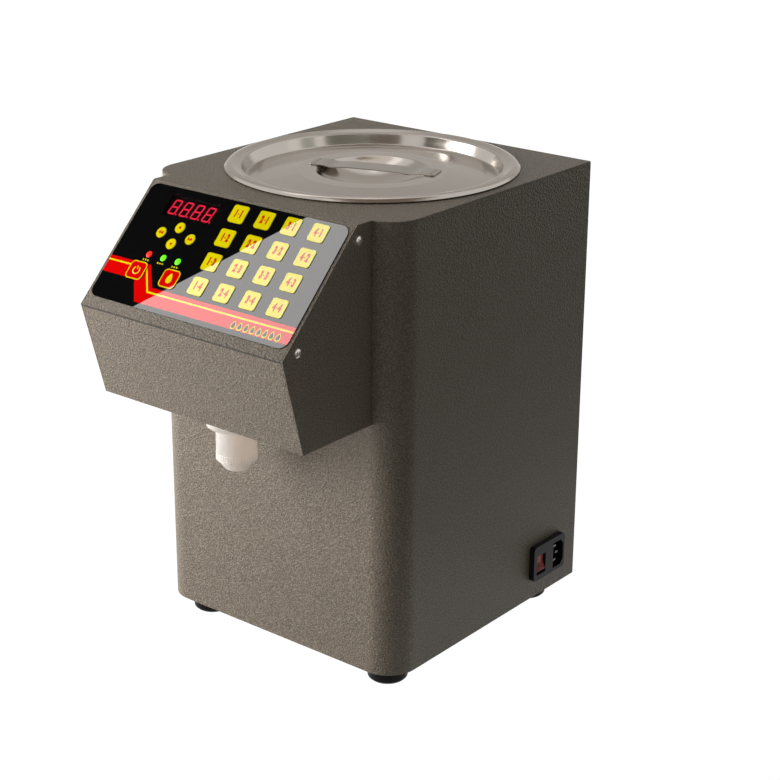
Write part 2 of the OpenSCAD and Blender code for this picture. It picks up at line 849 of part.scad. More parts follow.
// Involute gear tooth: half of its angle at radius r
function roll(r) = let (a = acos(min(1, base_r / r))) tan(a) * 180 / PI - a;
function half_tooth(r) =
    90 / gear_teeth - backlash * 90 / (PI * pitch_r) + roll(pitch_r) - roll(max(r, base_r));
flank_radii = [for (i = [0 : 6]) i == 0 ? root_r : base_r + (gear_r - base_r) * (i - 1) / 5];
module gear_outline()
    polygon([for (tooth = [0 : gear_teeth - 1])
        for (side = [-1, 1])
            for (r = side < 0 ? flank_radii : reversed(flank_radii))
                let (a = tooth * 360 / gear_teeth + side * half_tooth(r))
                r * [cos(a), sin(a)]]);

// Gear in the pump with a tooth turned by phase from straight up
module pump_gear(z, phase)
    translate([0, port_y + gear_w / 2, z])
        rotate([90, 0, 0])
            linear_extrude(gear_w)
                rotate(90 + phase)
                    gear_outline();

module drive_gear() color(bare_steel) {
    pump_gear(axis_z, 0);
    translate([0, 0, axis_z])
        bar_y(shaft_d / 2, pump_front_y - bearing_depth, gearbox_y + gearbox_t);
}

module idler_gear() color(bare_steel) {
    pump_gear(idler_z, 180 + 180 / gear_teeth);
    translate([0, 0, idler_z])
        bar_y(shaft_d / 2, pump_front_y - bearing_depth, chamber_back_y + bearing_depth);
}

// Front view of the pump block, about the middle between its two shafts
module pump_outline() round_rect(pump_w, pump_h, 9);

// Slab of the pump block from y0 to y1, with its four bolt holes
module pump_slab(y0, y1)
    difference() {
        translate([0, y1, port_z])
            rotate([90, 0, 0])
                linear_extrude(y1 - y0)
                    pump_outline();
        at_bolts() bar_y(bolt_d / 2 + screw_play, y0 - cut, y1 + cut);
    }
module at_bolts()
    for (x = [-1, 1], z = [-1, 1])
        translate([x * (pump_w / 2 - bolt_inset), 0, port_z + z * (pump_h / 2 - bolt_inset)])
            children();

module pump_body() color([0.80, 0.80, 0.78])
    difference() {
        union() {
            pump_slab(pump_front_y, bracket_y);
            for (side = [0, 1])
                mirror([side, 0, 0])
                    translate([0, port_y, port_z])
                        bar_x(spigot_r, pump_w / 2 - 1, pump_w / 2 + spigot_len);
        }
        for (z = [axis_z, idler_z]) {
            translate([0, 0, z])
                bar_y(chamber_r, pump_front_y - cut, chamber_back_y);
            translate([0, 0, z])
                bar_y(shaft_d / 2 + running, pump_front_y, chamber_back_y + bearing_depth + side_play);
        }
        translate([0, 0, axis_z])
            bar_y(shaft_d / 2 + running, pump_front_y, bracket_y + cut);
        translate([0, port_y, port_z])
            bar_x(spigot_r - spigot_wall, -pump_w, pump_w);
    }

module pump_cover() color([0.72, 0.72, 0.70])
    difference() {
        pump_slab(pump_front_y - pump_wall, pump_front_y);
        for (z = [axis_z, idler_z])
            translate([0, 0, z])
                bar_y(shaft_d / 2 + running, pump_front_y - bearing_depth - side_play,
                    pump_front_y + cut);
    }

// Socket-head bolts that clamp cover, body and bracket to the motor's gearbox
module pump_screws() color(bare_steel)
    at_bolts()
        difference() {
            union() {
                bar_y(bolt_d / 2, pump_front_y - pump_wall, gearbox_y + gearbox_t / 2);
                bar_y(0.85 * bolt_d, pump_front_y - pump_wall - bolt_d, pump_front_y - pump_wall);
            }
            translate([0, pump_front_y - pump_wall - bolt_d - cut, 0])
                rotate([-90, 0, 0])
                    cylinder(d = 0.8 * bolt_d, h = cut + bolt_d / 2, $fn = 6);
        }

module pump_bracket() color(bare_steel) {
    plate_w = pump_w + 24;
    difference() {
        union() {
            translate([-plate_w / 2, bracket_y, floor_z])
                cube([plate_w, bracket_t, port_z + pump_h / 2 - floor_z]);
            translate([-plate_w / 2, bracket_y, floor_z])
                cube([plate_w, bracket_foot, bracket_t]);
        }
        translate([0, 0, axis_z])
            bar_y(shaft_d / 2 + 1.5, bracket_y - cut, gearbox_y + cut);
        at_bolts() bar_y(bolt_d / 2 + screw_play, bracket_y - cut, gearbox_y + cut);
        at_bracket_screws() screw_hole();
    }
}

// Gearbox plate and round motor can, with the shaft's bore and two terminals
terminal_out = 7;
module pump_motor() color([0.45, 0.46, 0.48])
    difference() {
        union() {
            pump_slab(gearbox_y, gearbox_y + gearbox_t);
            translate([0, 0, axis_z]) {
                bar_y(motor_d / 2, gearbox_y + gearbox_t, gearbox_y + motor_len - 4);
                bar_y(motor_d / 2 - 3, gearbox_y + motor_len - 4.5, gearbox_y + motor_len);
            }
            for (x = [-10, 10])
                translate([x - 2.5, gearbox_y + motor_len - 1, axis_z - 1])
                    cube([5, 1 + terminal_out, 2]);
        }
        translate([0, 0, axis_z])
            bar_y(shaft_d / 2 + running, gearbox_y - cut, gearbox_y + gearbox_t + side_play);
    }

// ---- Hoses and nozzle: shared places ----

neck_d = 24;
nut_t = 6;
nozzle_y = front_y - head_bottom_d / 2;
nut_z = head_bottom_z + sheet;
nozzle_top_z = nut_z + nut_t + 2 + spigot_len;
collar_z = head_bottom_z - collar_h;
cap_wall = 2.6;
plug_r = cap_d / 2 - cap_wall - running;
plug_h = cap_h - 8;

// Suction hose: from the pump's right port, a quarter bend, then up to the pot's outlet
suction_bend = 24;
hose_end_gap = 0.5;
module suction_hose() color(hose_clear)
    difference() {
        suction_run(hose_d / 2, 0);
        suction_run(hose_bore / 2, cut);
    }
module suction_run(r, over) {
    bend_x = pot_outlet.x - suction_bend;
    bend_z = port_z + suction_bend;
    top = pot_floor_z - pot_t - hose_end_gap;
    translate([0, port_y, port_z])
        bar_x(r, pump_w / 2 + hose_end_gap - over, bend_x);
    translate([bend_x, port_y, bend_z])
        rotate([90, 0, 0])
            rotate_extrude(angle = -90)
                translate([suction_bend, 0])
                    circle(r);
    translate([pot_outlet.x, port_y, bend_z])
        cylinder(r = r, h = top - bend_z + over);
}

// Cubic curve from a to d with handles b and c
function curve(a, b, c, d, steps) =
    [for (i = [0 : steps]) let (t = i / steps, u = 1 - t)
        u * u * u * a + 3 * u * u * t * b + 3 * u * t * t * c + t * t * t * d];

// Tube along a path: rings of points square to the path, each turned as little as possible
function unit(v) = v / norm(v);
function heading(path, i) =
    unit(path[min(i + 1, len(path) - 1)] - path[max(i - 1, 0)]);
function square_to(v, along) = unit(v - along * (v * along));
function ring_sides(path, first) =
    [for (i = 0, v = square_to(first, heading(path, 0)); i < len(path);
        i = i + 1, v = i < len(path) ? square_to(v, heading(path, i)) : v) v];
module tube(path, r, sides = 10, first = [0, 1, 0]) {
    vs = ring_sides(path, first);
    n = len(path);
    points = [for (i = [0 : n - 1])
        let (v = vs[i], w = cross(heading(path, i), v))
        for (k = [0 : sides - 1])
            let (a = 360 * k / sides) path[i] + r * (cos(a) * v + sin(a) * w)];
    walls = [for (i = [0 : n - 2]) for (k = [0 : sides - 1])
        let (a = i * sides + k, b = i * sides + (k + 1) % sides)
        for (tri = [[a, a + sides, b], [b, a + sides, b + sides]]) tri];
    polyhedron(points, concat(walls, [[for (k = [0 : sides - 1]) k]],
        [[for (k = [sides - 1 : -1 : 0]) (n - 1) * sides + k]]));
}

// Delivery hose: from the pump's left port up in front of the pot, over into the head
// and down onto the nozzle's spigot
delivery_start = [-pump_w / 2 - spigot_len, port_y, port_z];
delivery_turn = [-50, front_y + 12, pot_floor_z + 12];
delivery_end = [0, nozzle_y, nozzle_top_z + 1];
delivery_path = concat(
    [[-pump_w / 2 - hose_end_gap, port_y, port_z]],
    curve(delivery_start, delivery_start - [40, 0, 0],
        delivery_turn - [0, 0, 70], delivery_turn, 14),
    [for (i = [1 : 14]) curve(delivery_turn, delivery_turn + [0, 0, 75],
        delivery_end + [0, 0, 60], delivery_end, 14)[i]],
    [[0, nozzle_y, nozzle_top_z - spigot_len + hose_end_gap]]);
hose_sides = 12;
module delivery_hose() color(hose_clear)
    difference() {
        tube(delivery_path, hose_d / 2 / cos(90 / hose_sides), hose_sides);
        tube(concat([delivery_path[0] + [cut, 0, 0]],
                [for (i = [1 : len(delivery_path) - 2]) delivery_path[i]],
                [delivery_path[len(delivery_path) - 1] - [0, 0, cut]]),
            hose_bore / 2 / cos(180 / hose_sides), hose_sides);
    }

// Worm-drive clamps on the four hose ends
clamp_w = 6;
module hose_clamps() color(bare_steel) {
    clamp_in = hose_end_gap + 4;
    for (side = [0, 1])
        mirror([side, 0, 0])
            translate([pump_w / 2 + clamp_in, port_y, port_z])
                rotate([0, 90, 0])
                    hose_clamp();
    translate([pot_outlet.x, port_y, pot_floor_z - pot_t - clamp_in - clamp_w])
        hose_clamp();
    translate([0, nozzle_y, nozzle_top_z - spigot_len + clamp_in])
        hose_clamp();
}
module hose_clamp() {
    band_r = hose_d / 2 / cos(90 / hose_sides) + 0.1;
    difference() {
        union() {
            cylinder(r = band_r + 0.8, h = clamp_w);
            translate([-3, band_r, 0])
                cube([6, 4.5, clamp_w]);
        }
        translate([0, 0, -cut])
            cylinder(r = band_r, h = clamp_w + 2 * cut);
    }
}

// ---- Nozzle ----

// Collar under the head, plug that carries the cap, neck through the head and hose spigot
module nozzle_body() color(nylon_white)
    translate([0, nozzle_y, 0])
        difference() {
            union() {
                translate([0, 0, collar_z])
                    cylinder(d = collar_d, h = collar_h);
                translate([0, 0, collar_z - plug_h])
                    cylinder(r = plug_r, h = plug_h + cut);
                translate([0, 0, head_bottom_z - cut])
                    cylinder(d = neck_d, h = cut + sheet + nut_t + 2);
                translate([0, 0, nozzle_top_z - spigot_len - cut])
                    cylinder(r = spigot_r, h = spigot_len + cut);
            }
            translate([0, 0, collar_z - plug_h - cut])
                cylinder(r = spigot_r - spigot_wall, h = nozzle_top_z - collar_z + plug_h + 2 * cut);
        }

module nozzle_nut() color(nylon_white)
    translate([0, nozzle_y, nut_z])
        difference() {
            cylinder(d = neck_d + 16, h = nut_t, $fn = 6);
            translate([0, 0, -cut])
                cylinder(d = neck_d + 2 * screw_play, h = nut_t + 2 * cut);
        }

// Screw cap with a ribbed grip and a tapered end round the outlet
rib_w = 1;
rib_out = 0.35;
module nozzle_cap() color(nylon_white)
    translate([0, nozzle_y, collar_z - cap_h])
        difference() {
            union() {
                cylinder(d = cap_d, h = cap_h - seam);
                for (i = [0 : grip_ribs - 1])
                    rotate(i * 360 / grip_ribs)
                        translate([cap_d / 2 - rib_w, -rib_w / 2, 0])
                            cube([rib_w + rib_out, rib_w, grip_h]);
                translate([0, 0, -tip_h])
                    cylinder(d1 = tip_d, d2 = cap_d - 1, h = tip_h);
            }
            translate([0, 0, cap_wall])
                cylinder(r = plug_r + running, h = cap_h);
            translate([0, 0, -tip_h - cut])
                cylinder(d = outlet_d, h = tip_h + cap_wall + 2 * cut);
        }

// ---- Electrics ----

// Control board on the base tray, with its relays, capacitors and connectors
control_w = 72;
control_l = 100;
control_x = 49 - cab_w / 2;
control_y = cab_y - 20;
control_hole_x = control_w / 2 - 5;
control_hole_y = control_l / 2 - 5;
control_z = floor_z + spacer_len;
relay = [20, 16, 15.5];
relay_places = [[-24, -24], [-24, 2]];         // corners
capacitor_places = [[18, -16], [18, 10]];
capacitor_d = 13;
capacitor_h = 20;
connector = [40, 12, 10];
connector_y = control_l / 2 - 7;               // from the board's middle to a connector's
chip = [14, 10, 3];
chip_place = [-4, 24];
module control_board() color(board_green)
    translate([control_x, control_y, control_z]) {
        linear_extrude(board_t)
            difference() {
                square([control_w, control_l], center = true);
                for (x = [-1, 1], y = [-1, 1])
                    translate([x * control_hole_x, y * control_hole_y])
                        circle(d = spacer_hole_d);
            }
        for (p = relay_places)
            translate([p.x, p.y, board_t])
                cube(relay);
        for (p = capacitor_places)
            translate([p.x, p.y, board_t])
                cylinder(d = capacitor_d, h = capacitor_h);
        for (side = [-1, 1])
            translate([-connector.x / 2, side * connector_y - connector.y / 2, board_t])
                cube(connector);
        translate([chip_place.x, chip_place.y, board_t])
            cube(chip);
    }

// Enclosed power supply with a slotted cage, terminal block and two screw ears
supply_w = 76;
supply_l = 100;
supply_h = 36;
supply_x = cab_w / 2 - 45;
supply_y = cab_y - 8;
ear_w = 24;
ear_l = 11;
ear_t = 1.5;
cage_slot = [supply_w - 20, 3.5, 2];               // length, width and depth of a slot in the cage
cage_pitch = 8;
terminal_l = 14;                                   // step that holds the screw terminals
terminal_y = supply_y + supply_l / 2 - terminal_l;
terminal_z = floor_z + supply_h / 2;
module power_supply() color([0.72, 0.73, 0.74])
    difference() {
        union() {
            translate([supply_x - supply_w / 2, supply_y - supply_l / 2, floor_z])
                cube([supply_w, supply_l, supply_h]);
            translate([supply_x - ear_w / 2, supply_y - supply_l / 2 - ear_l, floor_z])
                cube([ear_w, supply_l + 2 * ear_l, ear_t]);
        }
        for (i = [-4 : 4])
            translate([supply_x, supply_y + i * cage_pitch, floor_z + supply_h - cage_slot.z])
                linear_extrude(cage_slot.z + cut)
                    round_rect(cage_slot.x, cage_slot.y, cage_slot.y / 2 - 0.05);
        translate([supply_x - supply_w / 2 - cut, terminal_y, terminal_z])
            cube([supply_w + 2 * cut, terminal_l + cut, supply_h]);
        at_supply_screws() screw_hole();
    }

// Cables between the inlet, the power supply, the two boards and the motor. Each one leaves
// what it is plugged into on a straight lead, and runs through loose points between.
cable_r = 2.6;
lead_in = 4;
lead_out = 12;
function lead(p, way) = [p, p + lead_in * way, p + lead_out * way];
upward = [0, 0, 1];
terminal_place = [supply_x - 10, terminal_y + terminal_l / 2, terminal_z + seam];
connector_z = control_z + board_t + connector.z + seam;
motor_back = gearbox_y + motor_len;
riser_place = [37 - cab_w / 2, front_y + 24];            // keypad cable beside the pump
function smooth(points, steps = 4) = concat([points[0]],
    [for (i = [0 : len(points) - 2]) for (k = [1 : steps])
        let (a = points[max(i - 1, 0)], b = points[i], c = points[i + 1],
            d = points[min(i + 2, len(points) - 1)], t = k / steps)
        ((-t * t * t + 2 * t * t - t) * a + (3 * t * t * t - 5 * t * t + 2) * b
            + (-3 * t * t * t + 4 * t * t + t) * c + (t * t * t - t * t) * d) / 2]);
module wiring_loom() color(rubber_black) {
    pin_ends = [cab_w / 2 - inlet_depth - pin_tail - seam, inlet_y + socket_place.x, inlet_z - 1];
    cable(concat(
        lead(pin_ends, [-1, 0, 0]),
        [[supply_x + 8, inlet_y - 14, floor_z + 32]],
        reversed(lead(terminal_place + [18, 0, 0], upward))));
    cable(concat(
        lead(terminal_place - [12, 0, 0], upward),
        [[30, motor_back + 16, floor_z + 26], [-30, motor_back + 16, floor_z + 20],
            [control_x + 8, control_y + control_l / 2 + 14, control_z + 20]],
        reversed(lead([control_x + 8, control_y + connector_y, connector_z], upward))));
    cable(concat(
        lead([10, motor_back + terminal_out + seam, axis_z], [0, 1, 0]),
        [[-24, motor_back + 12, axis_z - 14],
            [control_x - 8, control_y + control_l / 2 + 6, control_z + 26]],
        reversed(lead([control_x - 8, control_y + connector_y, connector_z], upward))));
    keypad_end = slope_top - 60 * [cos(panel_tilt), sin(panel_tilt)]
        + (board_n - board_t - seam) * [-sin(panel_tilt), cos(panel_tilt)];
    cable(concat(
        lead([control_x, control_y - connector_y, connector_z], upward),
        [[riser_place.x, riser_place.y, floor_z + 90], [riser_place.x, riser_place.y, pot_floor_z + 40],
            [-70, front_y + 14, top_z - 80], [-40, keypad_end.x + 24, keypad_end.y - 24]],
        reversed(lead([-40, keypad_end.x, keypad_end.y], [0, sin(panel_tilt), -cos(panel_tilt)]))));
}
module cable(points) tube(smooth(points), cable_r, 8, [0.3, 0.2, 0.9]);

// Moulded inlet in the right side: flange, body, socket opening and the rocker's recess
inlet_lip = 1.3;                     // flange's edge outside the cut-out
inlet_r = 4;
inlet_depth = 28;
inlet_y = back_y - 48.5;
inlet_z = foot_h + 35.6;
inlet_face = cab_w / 2 + inlet_proud;
socket_place = [14, -1];             // middle of the socket opening on the flange
rocker_place = [-13, -2.2];            // middle of the rocker on the flange
rocker_gap = 0.3;
rocker_lean = -rocker_swing / 2;
pivot_x = inlet_face - 7;
pivot_r = 1.5;
pivot_in = 1;

// Outline of the socket opening in the YZ plane, chamfered on its rear corners
module chamfered(w, h, chamfer)
    polygon([[-w / 2, -h / 2], [w / 2 - chamfer, -h / 2], [w / 2, -h / 2 + chamfer],
        [w / 2, h / 2 - chamfer], [w / 2 - chamfer, h / 2], [-w / 2, h / 2]]);
module at_inlet(place = [0, 0])
    translate([0, inlet_y + place.x, inlet_z + place.y])
        children();
module inlet_cutout()
    at_inlet()
        translate([cab_w / 2 - 4 * sheet, seam - inlet_w / 2 + inlet_lip,
            seam - inlet_h / 2 + inlet_lip] - [0, 2 * seam, 2 * seam])
            cube([8 * sheet, inlet_w - 2 * inlet_lip + 2 * seam,
                inlet_h - 2 * inlet_lip + 2 * seam]);

module inlet_socket() color(rubber_black)
    difference() {
        union() {
            at_inlet() across(cab_w / 2, inlet_face) round_rect(inlet_w, inlet_h, inlet_r);
            at_inlet() across(cab_w / 2 - inlet_depth, cab_w / 2 + cut)
                square([inlet_w - 2 * inlet_lip, inlet_h - 2 * inlet_lip], center = true);
        }
        at_inlet(socket_place)
            across(inlet_face - socket_depth, inlet_face + cut)
                chamfered(socket_w, socket_h, 4.5);
        for (p = pin_places)
            at_inlet(socket_place + p)
                across(cab_w / 2 - inlet_depth - cut, inlet_face - socket_depth + cut)
                    square(pin_section + 2 * [screw_play, screw_play], center = true);
        at_inlet(rocker_place) {
            across(pivot_x - rocker_r - rocker_gap, inlet_face + cut)
                square([rocker_w + 2 * rocker_gap, 2 * (rocker_r + rocker_gap)], center = true);
            translate([pivot_x, 0, 0])
                bar_y(pivot_r + running, -rocker_w / 2 - rocker_gap - pivot_in,
                    rocker_w / 2 + rocker_gap + pivot_in);
        }
    }

// Flat contact blades through the floor of the socket opening, with tails behind it
pin_recess = 3;
pin_tail = 7;
pin_section = [4, 2];
pin_places = [[-1.5, -7], [1.5, 0], [-1.5, 7]];
module inlet_pins() color(bare_steel)
    for (p = pin_places)
        at_inlet(socket_place + p)
            across(cab_w / 2 - inlet_depth - pin_tail, inlet_face - pin_recess)
                square(pin_section, center = true);

// Rocker cut from a round bar about its pivot, with two faces that meet in a shallow valley
module power_rocker() color(signal_red)
    at_inlet(rocker_place)
        translate([pivot_x, 0, 0]) {
            rotate([0, rocker_lean, 0])
                intersection() {
                    bar_y(rocker_r, -rocker_w / 2, rocker_w / 2);
                    translate([0, rocker_w / 2, 0])
                        rotate([90, 0, 0])
                            linear_extrude(rocker_w)
                                polygon([[-3, -rocker_r], [6.2, -rocker_r], [4.4, 0],
                                    [6.2, rocker_r], [-3, rocker_r]]);
                }
            bar_y(pivot_r, -rocker_w / 2 - pivot_in, rocker_w / 2 + pivot_in);
        }

// ---- Nodes ----

cabinet_shell();
top_plate();
base_tray();
rear_panel();
feet();
case_screws();
head_housing();
head_cover();
keypad_overlay();
display_window();
keypad_board();
tactile_switches();
display_module();
indicator_lamps();
board_spacers();
for (row = [1 : 4], column = [1 : 4])
    number_key(column, row);
for (i = [0 : 3])
    arrow_key(i);
red_key(0);  // key_power
red_key(1);  // key_start
syrup_pot();
pot_gasket();
lid();
lid_handle();
pump_motor();
pump_bracket();
pump_body();
pump_cover();
pump_screws();
drive_gear();
idler_gear();
suction_hose();
delivery_hose();
hose_clamps();
nozzle_body();
nozzle_nut();
nozzle_cap();
control_board();
power_supply();
wiring_loom();
inlet_socket();
inlet_pins();
power_rocker();
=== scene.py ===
"""Dresses the packed fructose dispenser for a studio picture."""

import math

import bpy
from bpy.props import FloatProperty, FloatVectorProperty, PointerProperty
from mathutils import Matrix, Vector


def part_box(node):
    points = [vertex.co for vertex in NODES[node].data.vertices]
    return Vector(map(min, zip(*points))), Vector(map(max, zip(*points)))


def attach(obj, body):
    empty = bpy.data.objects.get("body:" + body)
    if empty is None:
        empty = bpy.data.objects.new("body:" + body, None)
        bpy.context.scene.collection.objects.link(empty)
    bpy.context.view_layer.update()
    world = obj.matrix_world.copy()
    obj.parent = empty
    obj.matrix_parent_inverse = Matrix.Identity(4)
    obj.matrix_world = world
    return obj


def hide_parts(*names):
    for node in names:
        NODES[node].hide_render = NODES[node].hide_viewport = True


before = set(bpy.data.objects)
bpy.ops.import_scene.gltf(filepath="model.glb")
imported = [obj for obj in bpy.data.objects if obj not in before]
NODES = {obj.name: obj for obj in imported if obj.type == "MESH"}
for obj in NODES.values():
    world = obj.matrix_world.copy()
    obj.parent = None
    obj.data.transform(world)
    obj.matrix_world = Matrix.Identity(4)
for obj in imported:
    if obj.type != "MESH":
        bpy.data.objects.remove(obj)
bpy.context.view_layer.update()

bl_info = {
    "name": "Fructose Dispenser",
    "version": (1, 0, 0),
    "blender": (4, 5, 0),
    "location": "View3D > Sidebar > Dispenser",
    "description": "Finishes a countertop fructose dispenser round its packed solids",
    "category": "Object",
}

MM = 0.001
NUMBER_KEYS = [(c, r) for r in range(1, 5) for c in range(1, 5)]

# The keypad panel: how high film, keys and ink stand over its face, the film's distance from
# its upper edge, its length and tilt, and the frame of its face (x across, y up the slope)
FILM_TOP = 0.8 * MM
FILM_EDGE = 3.2 * MM
KEY_TOP = 1.4 * MM
INK = 0.06 * MM
PANEL_LENGTH = 124 * MM
PANEL_TILT = math.radians(45)
FILM_CORNER = Vector(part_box("keypad_overlay")[1])
PANEL_TOP = Vector(
    (
        0,
        FILM_CORNER.y + FILM_EDGE * math.cos(PANEL_TILT),
        FILM_CORNER.z + (FILM_EDGE - FILM_TOP) * math.sin(PANEL_TILT),
    )
)
PANEL = Matrix.Translation(PANEL_TOP) @ Matrix.Rotation(PANEL_TILT, 4, "X")
CABINET_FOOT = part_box("cabinet_shell")[0][2]

# Places on the panel in millimetres, across and down the slope: arrow keys with the turn of
# their signs, red keys, the first of the title's drops, the lamps' middles and their labels
ARROW_SPOTS = {
    "key_left": (-69.6, 45.8, 90),
    "key_right": (-36.8, 45.8, -90),
    "key_up": (-53.2, 38.0, 0),
    "key_down": (-53.2, 53.6, 180),
}
RED_KEY_SPOTS = {"key_power": (-72.5, 83.2), "key_start": (-35.0, 83.2)}
RED_KEY_SIZE = (18.0, 16.8, 4.0)
TITLE_START = (49.5, 106.0)
TITLE_PITCH = 6.6
TITLE_DROPS = 8
LAMP_X = (-69.6, -53.3, -37.0)
LABEL_DOWN = 72.4
LABEL_PITCH = 2.6
LABEL_DASH = 0.75 * MM

# A key's number: how far its two digits lie from its middle, how much bolder than the font
# they are, their narrowing, and the radius of the dash between them
DIGIT_SIDE = 2.7 * MM
DIGIT_BOLD = 0.65 * MM
DIGIT_SHAPE = (0.58, 0.98, 1.0)
DIGIT_DASH = 0.55 * MM

# Signs: the arrows' radius and the places of a double arrow's two; the power sign's ring, its
# stroke, the ring's opening in degrees and the middle of its bar; the scales of the title's
# drops and of their black cores
ARROW_RADIUS = 1.9 * MM
ARROW_PAIR = (1.2 * MM, -1.4 * MM)
POWER_RING = 3.4 * MM
POWER_STROKE = 0.55 * MM
POWER_OPENING = 70
POWER_BAR = 2.6 * MM
TITLE_SCALE = 0.84
CORE_SCALE = 0.58

# The printed band's bends in millimetres, as (first x, last x, level there before, after)
BAND_UPPER = (-61.2, -47.3, 75.5, 94.4)
BAND_LOWER = (-70.4, -57.3, 91.0, 109.8)
BAND_LINE = (-63.7, -49.8, 79.3, 98.9)

# Half of the yellow line's width, and how much that grows where the line slants
LINE_HALF = 0.78 * MM
LINE_GROWTH = 0.55 * MM

# The fold under the keypad's slope: its height, the reach of the painted shadow line under
# it, the width of its soft ends, and how much painted shade darkens the slope's coat
FOLD_HEIGHT = PANEL_TOP.z - PANEL_LENGTH * math.sin(PANEL_TILT)
FOLD_SHADOW_LINE = (0.1 * MM, 1.5 * MM)
FOLD_SOFT = 0.4 * MM
SLOPE_PAINTED_SHADE = 0.26

# The lid's section: how near its plane a point lies, which bends are rounded and by how much
SEAM_NEAR = 0.03 * MM
BEND_FROM = 45 * MM
BEND_TO = 126 * MM
BEND_SIZE = 1.0 * MM
LID_STEPS = 240

# The strap's turn in degrees, how far its weld marks lie from its middle and from each other,
# and their radius
STRAP_TURN = 18.5
STRAP_REACH = 53.5 * MM
WELD_PITCH = 6 * MM
WELD_RADIUS = 1.4 * MM

# The display: the middle of its digits on the panel, the height of the segments' tops, how far
# they stand out of the block and end short of each other, and the radius of the point and how
# far it stands to the right of the digit
DIGITS_SPOT = (-53.6 * MM, -20 * MM)
SEGMENT_TOP = -1.3 * MM
SEGMENT_OUT = 0.3 * MM
SEGMENT_GAP = 0.12 * MM
POINT_RADIUS = 0.75 * MM
POINT_SIDE = 2.0 * MM

# The power rocker: its pivot across the cabinet, how far its two faces lie from it and lean
# from each other, how it is tilted at rest, how far the marks lie from its middle, the bar's
# width and height, and the ring's radius and stroke
ROCKER_PIVOT_X = 133.5 * MM
ROCKER_FACE = 5.35 * MM
ROCKER_LEAN = math.radians(11.2)
ROCKER_TILT = math.radians(10)
ROCKER_MARK = 4.0 * MM
ROCKER_BAR = (0.7 * MM, 3.6 * MM)
ROCKER_RING = (1.4 * MM, 0.3 * MM)

# What film, keys and window have in common: a clear tight gloss over a print without one
GLOSS = {
    "Specular_IOR_Level": 0.0,
    "Coat_Weight": 1.0,
    "Coat_Roughness": 0.006,
    "Coat_IOR": 1.5,
}


# ---- Sizes and colours ----


def length(name, text, value):
    return FloatProperty(
        name=name, description=text, default=value, unit="LENGTH", precision=5
    )


def number(name, text, value):
    return FloatProperty(name=name, description=text, default=value)


def tint(name, text, value):
    return FloatVectorProperty(
        name=name,
        description=text,
        default=value,
        subtype="COLOR",
        size=3,
        min=0,
        max=1,
    )


class CoatSettings(bpy.types.PropertyGroup):
    """Hammered powder coat on the sheet metal"""

    color: tint("Colour", "Main colour of the powder coat", (0.215, 0.187, 0.146))
    fleck: tint("Flecks", "Colour of its lighter flecks", (0.40, 0.36, 0.30))
    grain: length("Grain", "Size of one bump of the coat", 0.0018)
    edge: length("Edge", "Radius of the folded edges", 0.0006)


class KeypadSettings(bpy.types.PropertyGroup):
    """Printed film and its keys"""

    film: tint("Film", "Colour of the film", (0.003, 0.003, 0.0032))
    yellow: tint("Yellow", "Colour of the keys and thin lines", (1.0, 0.88, 0.004))
    red: tint("Red", "Colour of the band and the red keys", (0.88, 0.002, 0.002))
    legend: length("Legend", "Size of the key numbers", 0.0093)
    first_x: length("First key, across", "Centre of key 1-1 across", -0.0035)
    first_s: length("First key, down", "Centre of key 1-1 down the slope", 0.0144)
    pitch_x: length("Columns", "Distance between key columns", 0.0281)
    pitch_s: length("Rows", "Distance between key rows", 0.0229)
    outline: length("Outline", "Width of the red keys' yellow outline", 0.0009)


class DisplaySettings(bpy.types.PropertyGroup):
    """Four-digit display"""

    glow: tint("Glow", "Colour of the lit segments", (1.0, 0.012, 0.055))
    power: number("Power", "Strength of the lit segments", 1.7)
    digit: length("Digit", "Height of a digit", 0.0142)
    pitch: length("Pitch", "Distance between digits", 0.0127)
    bar: length("Bar", "Width of a segment", 0.00135)
    slant: number("Slant", "Slant of the digits in degrees", 9.0)


class SteelSettings(bpy.types.PropertyGroup):
    """Stainless steel of the lid, strap and pot"""

    color: tint("Colour", "Colour of the steel", (0.47, 0.43, 0.39))
    polish: number("Roughness", "Roughness of the polished steel", 0.16)


class StageSettings(bpy.types.PropertyGroup):
    """Camera, lights and floor"""

    azimuth: number("Azimuth", "Camera's direction round the part", 38.765)
    elevation: number("Elevation", "Camera's height angle", 20.783)
    roll: number("Roll", "Camera's roll", 0.385)
    distance: length("Distance", "Camera's distance from its target", 1.6757)
    target: FloatVectorProperty(
        name="Target",
        description="Point in the middle of the picture",
        default=(0.021015, 0.05284, CABINET_FOOT + 0.195697),
        subtype="XYZ",
        unit="LENGTH",
    )
    lens: number("Lens", "Focal length on a 36 mm sensor, in millimetres", 86.82)
    key: number("Key light", "Power of the key light in watts", 18.6)
    fill: number("Fill light", "Power of the fill light in watts", 1.0)
    top: number("Top light", "Power of the top light in watts", 5.0)
    card: number("Gloss card", "Strength of the card that the film reflects", 6.2)
    air: number("World", "Strength of the world's diffuse light", 0.10)


# ---- Modelling helpers ----


def deselect():
    """Leaves edit mode and clears the selection."""
    if bpy.context.object and bpy.context.object.mode != "OBJECT":
        bpy.ops.object.mode_set(mode="OBJECT")
    for thing in bpy.context.selected_objects:
        thing.select_set(False)


def pick(*things):
    """Selects these objects; the last one is the active one."""
    deselect()
    for thing in things:
        thing.select_set(True)
    bpy.context.view_layer.objects.active = things[-1]


def new(add, **settings):
    """Adds an object with one of Blender's operators and returns it."""
    deselect()
    add(**settings)
    return bpy.context.object


def choose(thing, kind, test):
    """Selects the faces, edges or vertices that pass the test, in object mode."""
    mesh = thing.data
    for part in (mesh.vertices, mesh.edges, mesh.polygons):
        part.foreach_set("select", [False] * len(part))
    for item in getattr(mesh, kind):
        item.select = bool(test(item))
    mesh.update()


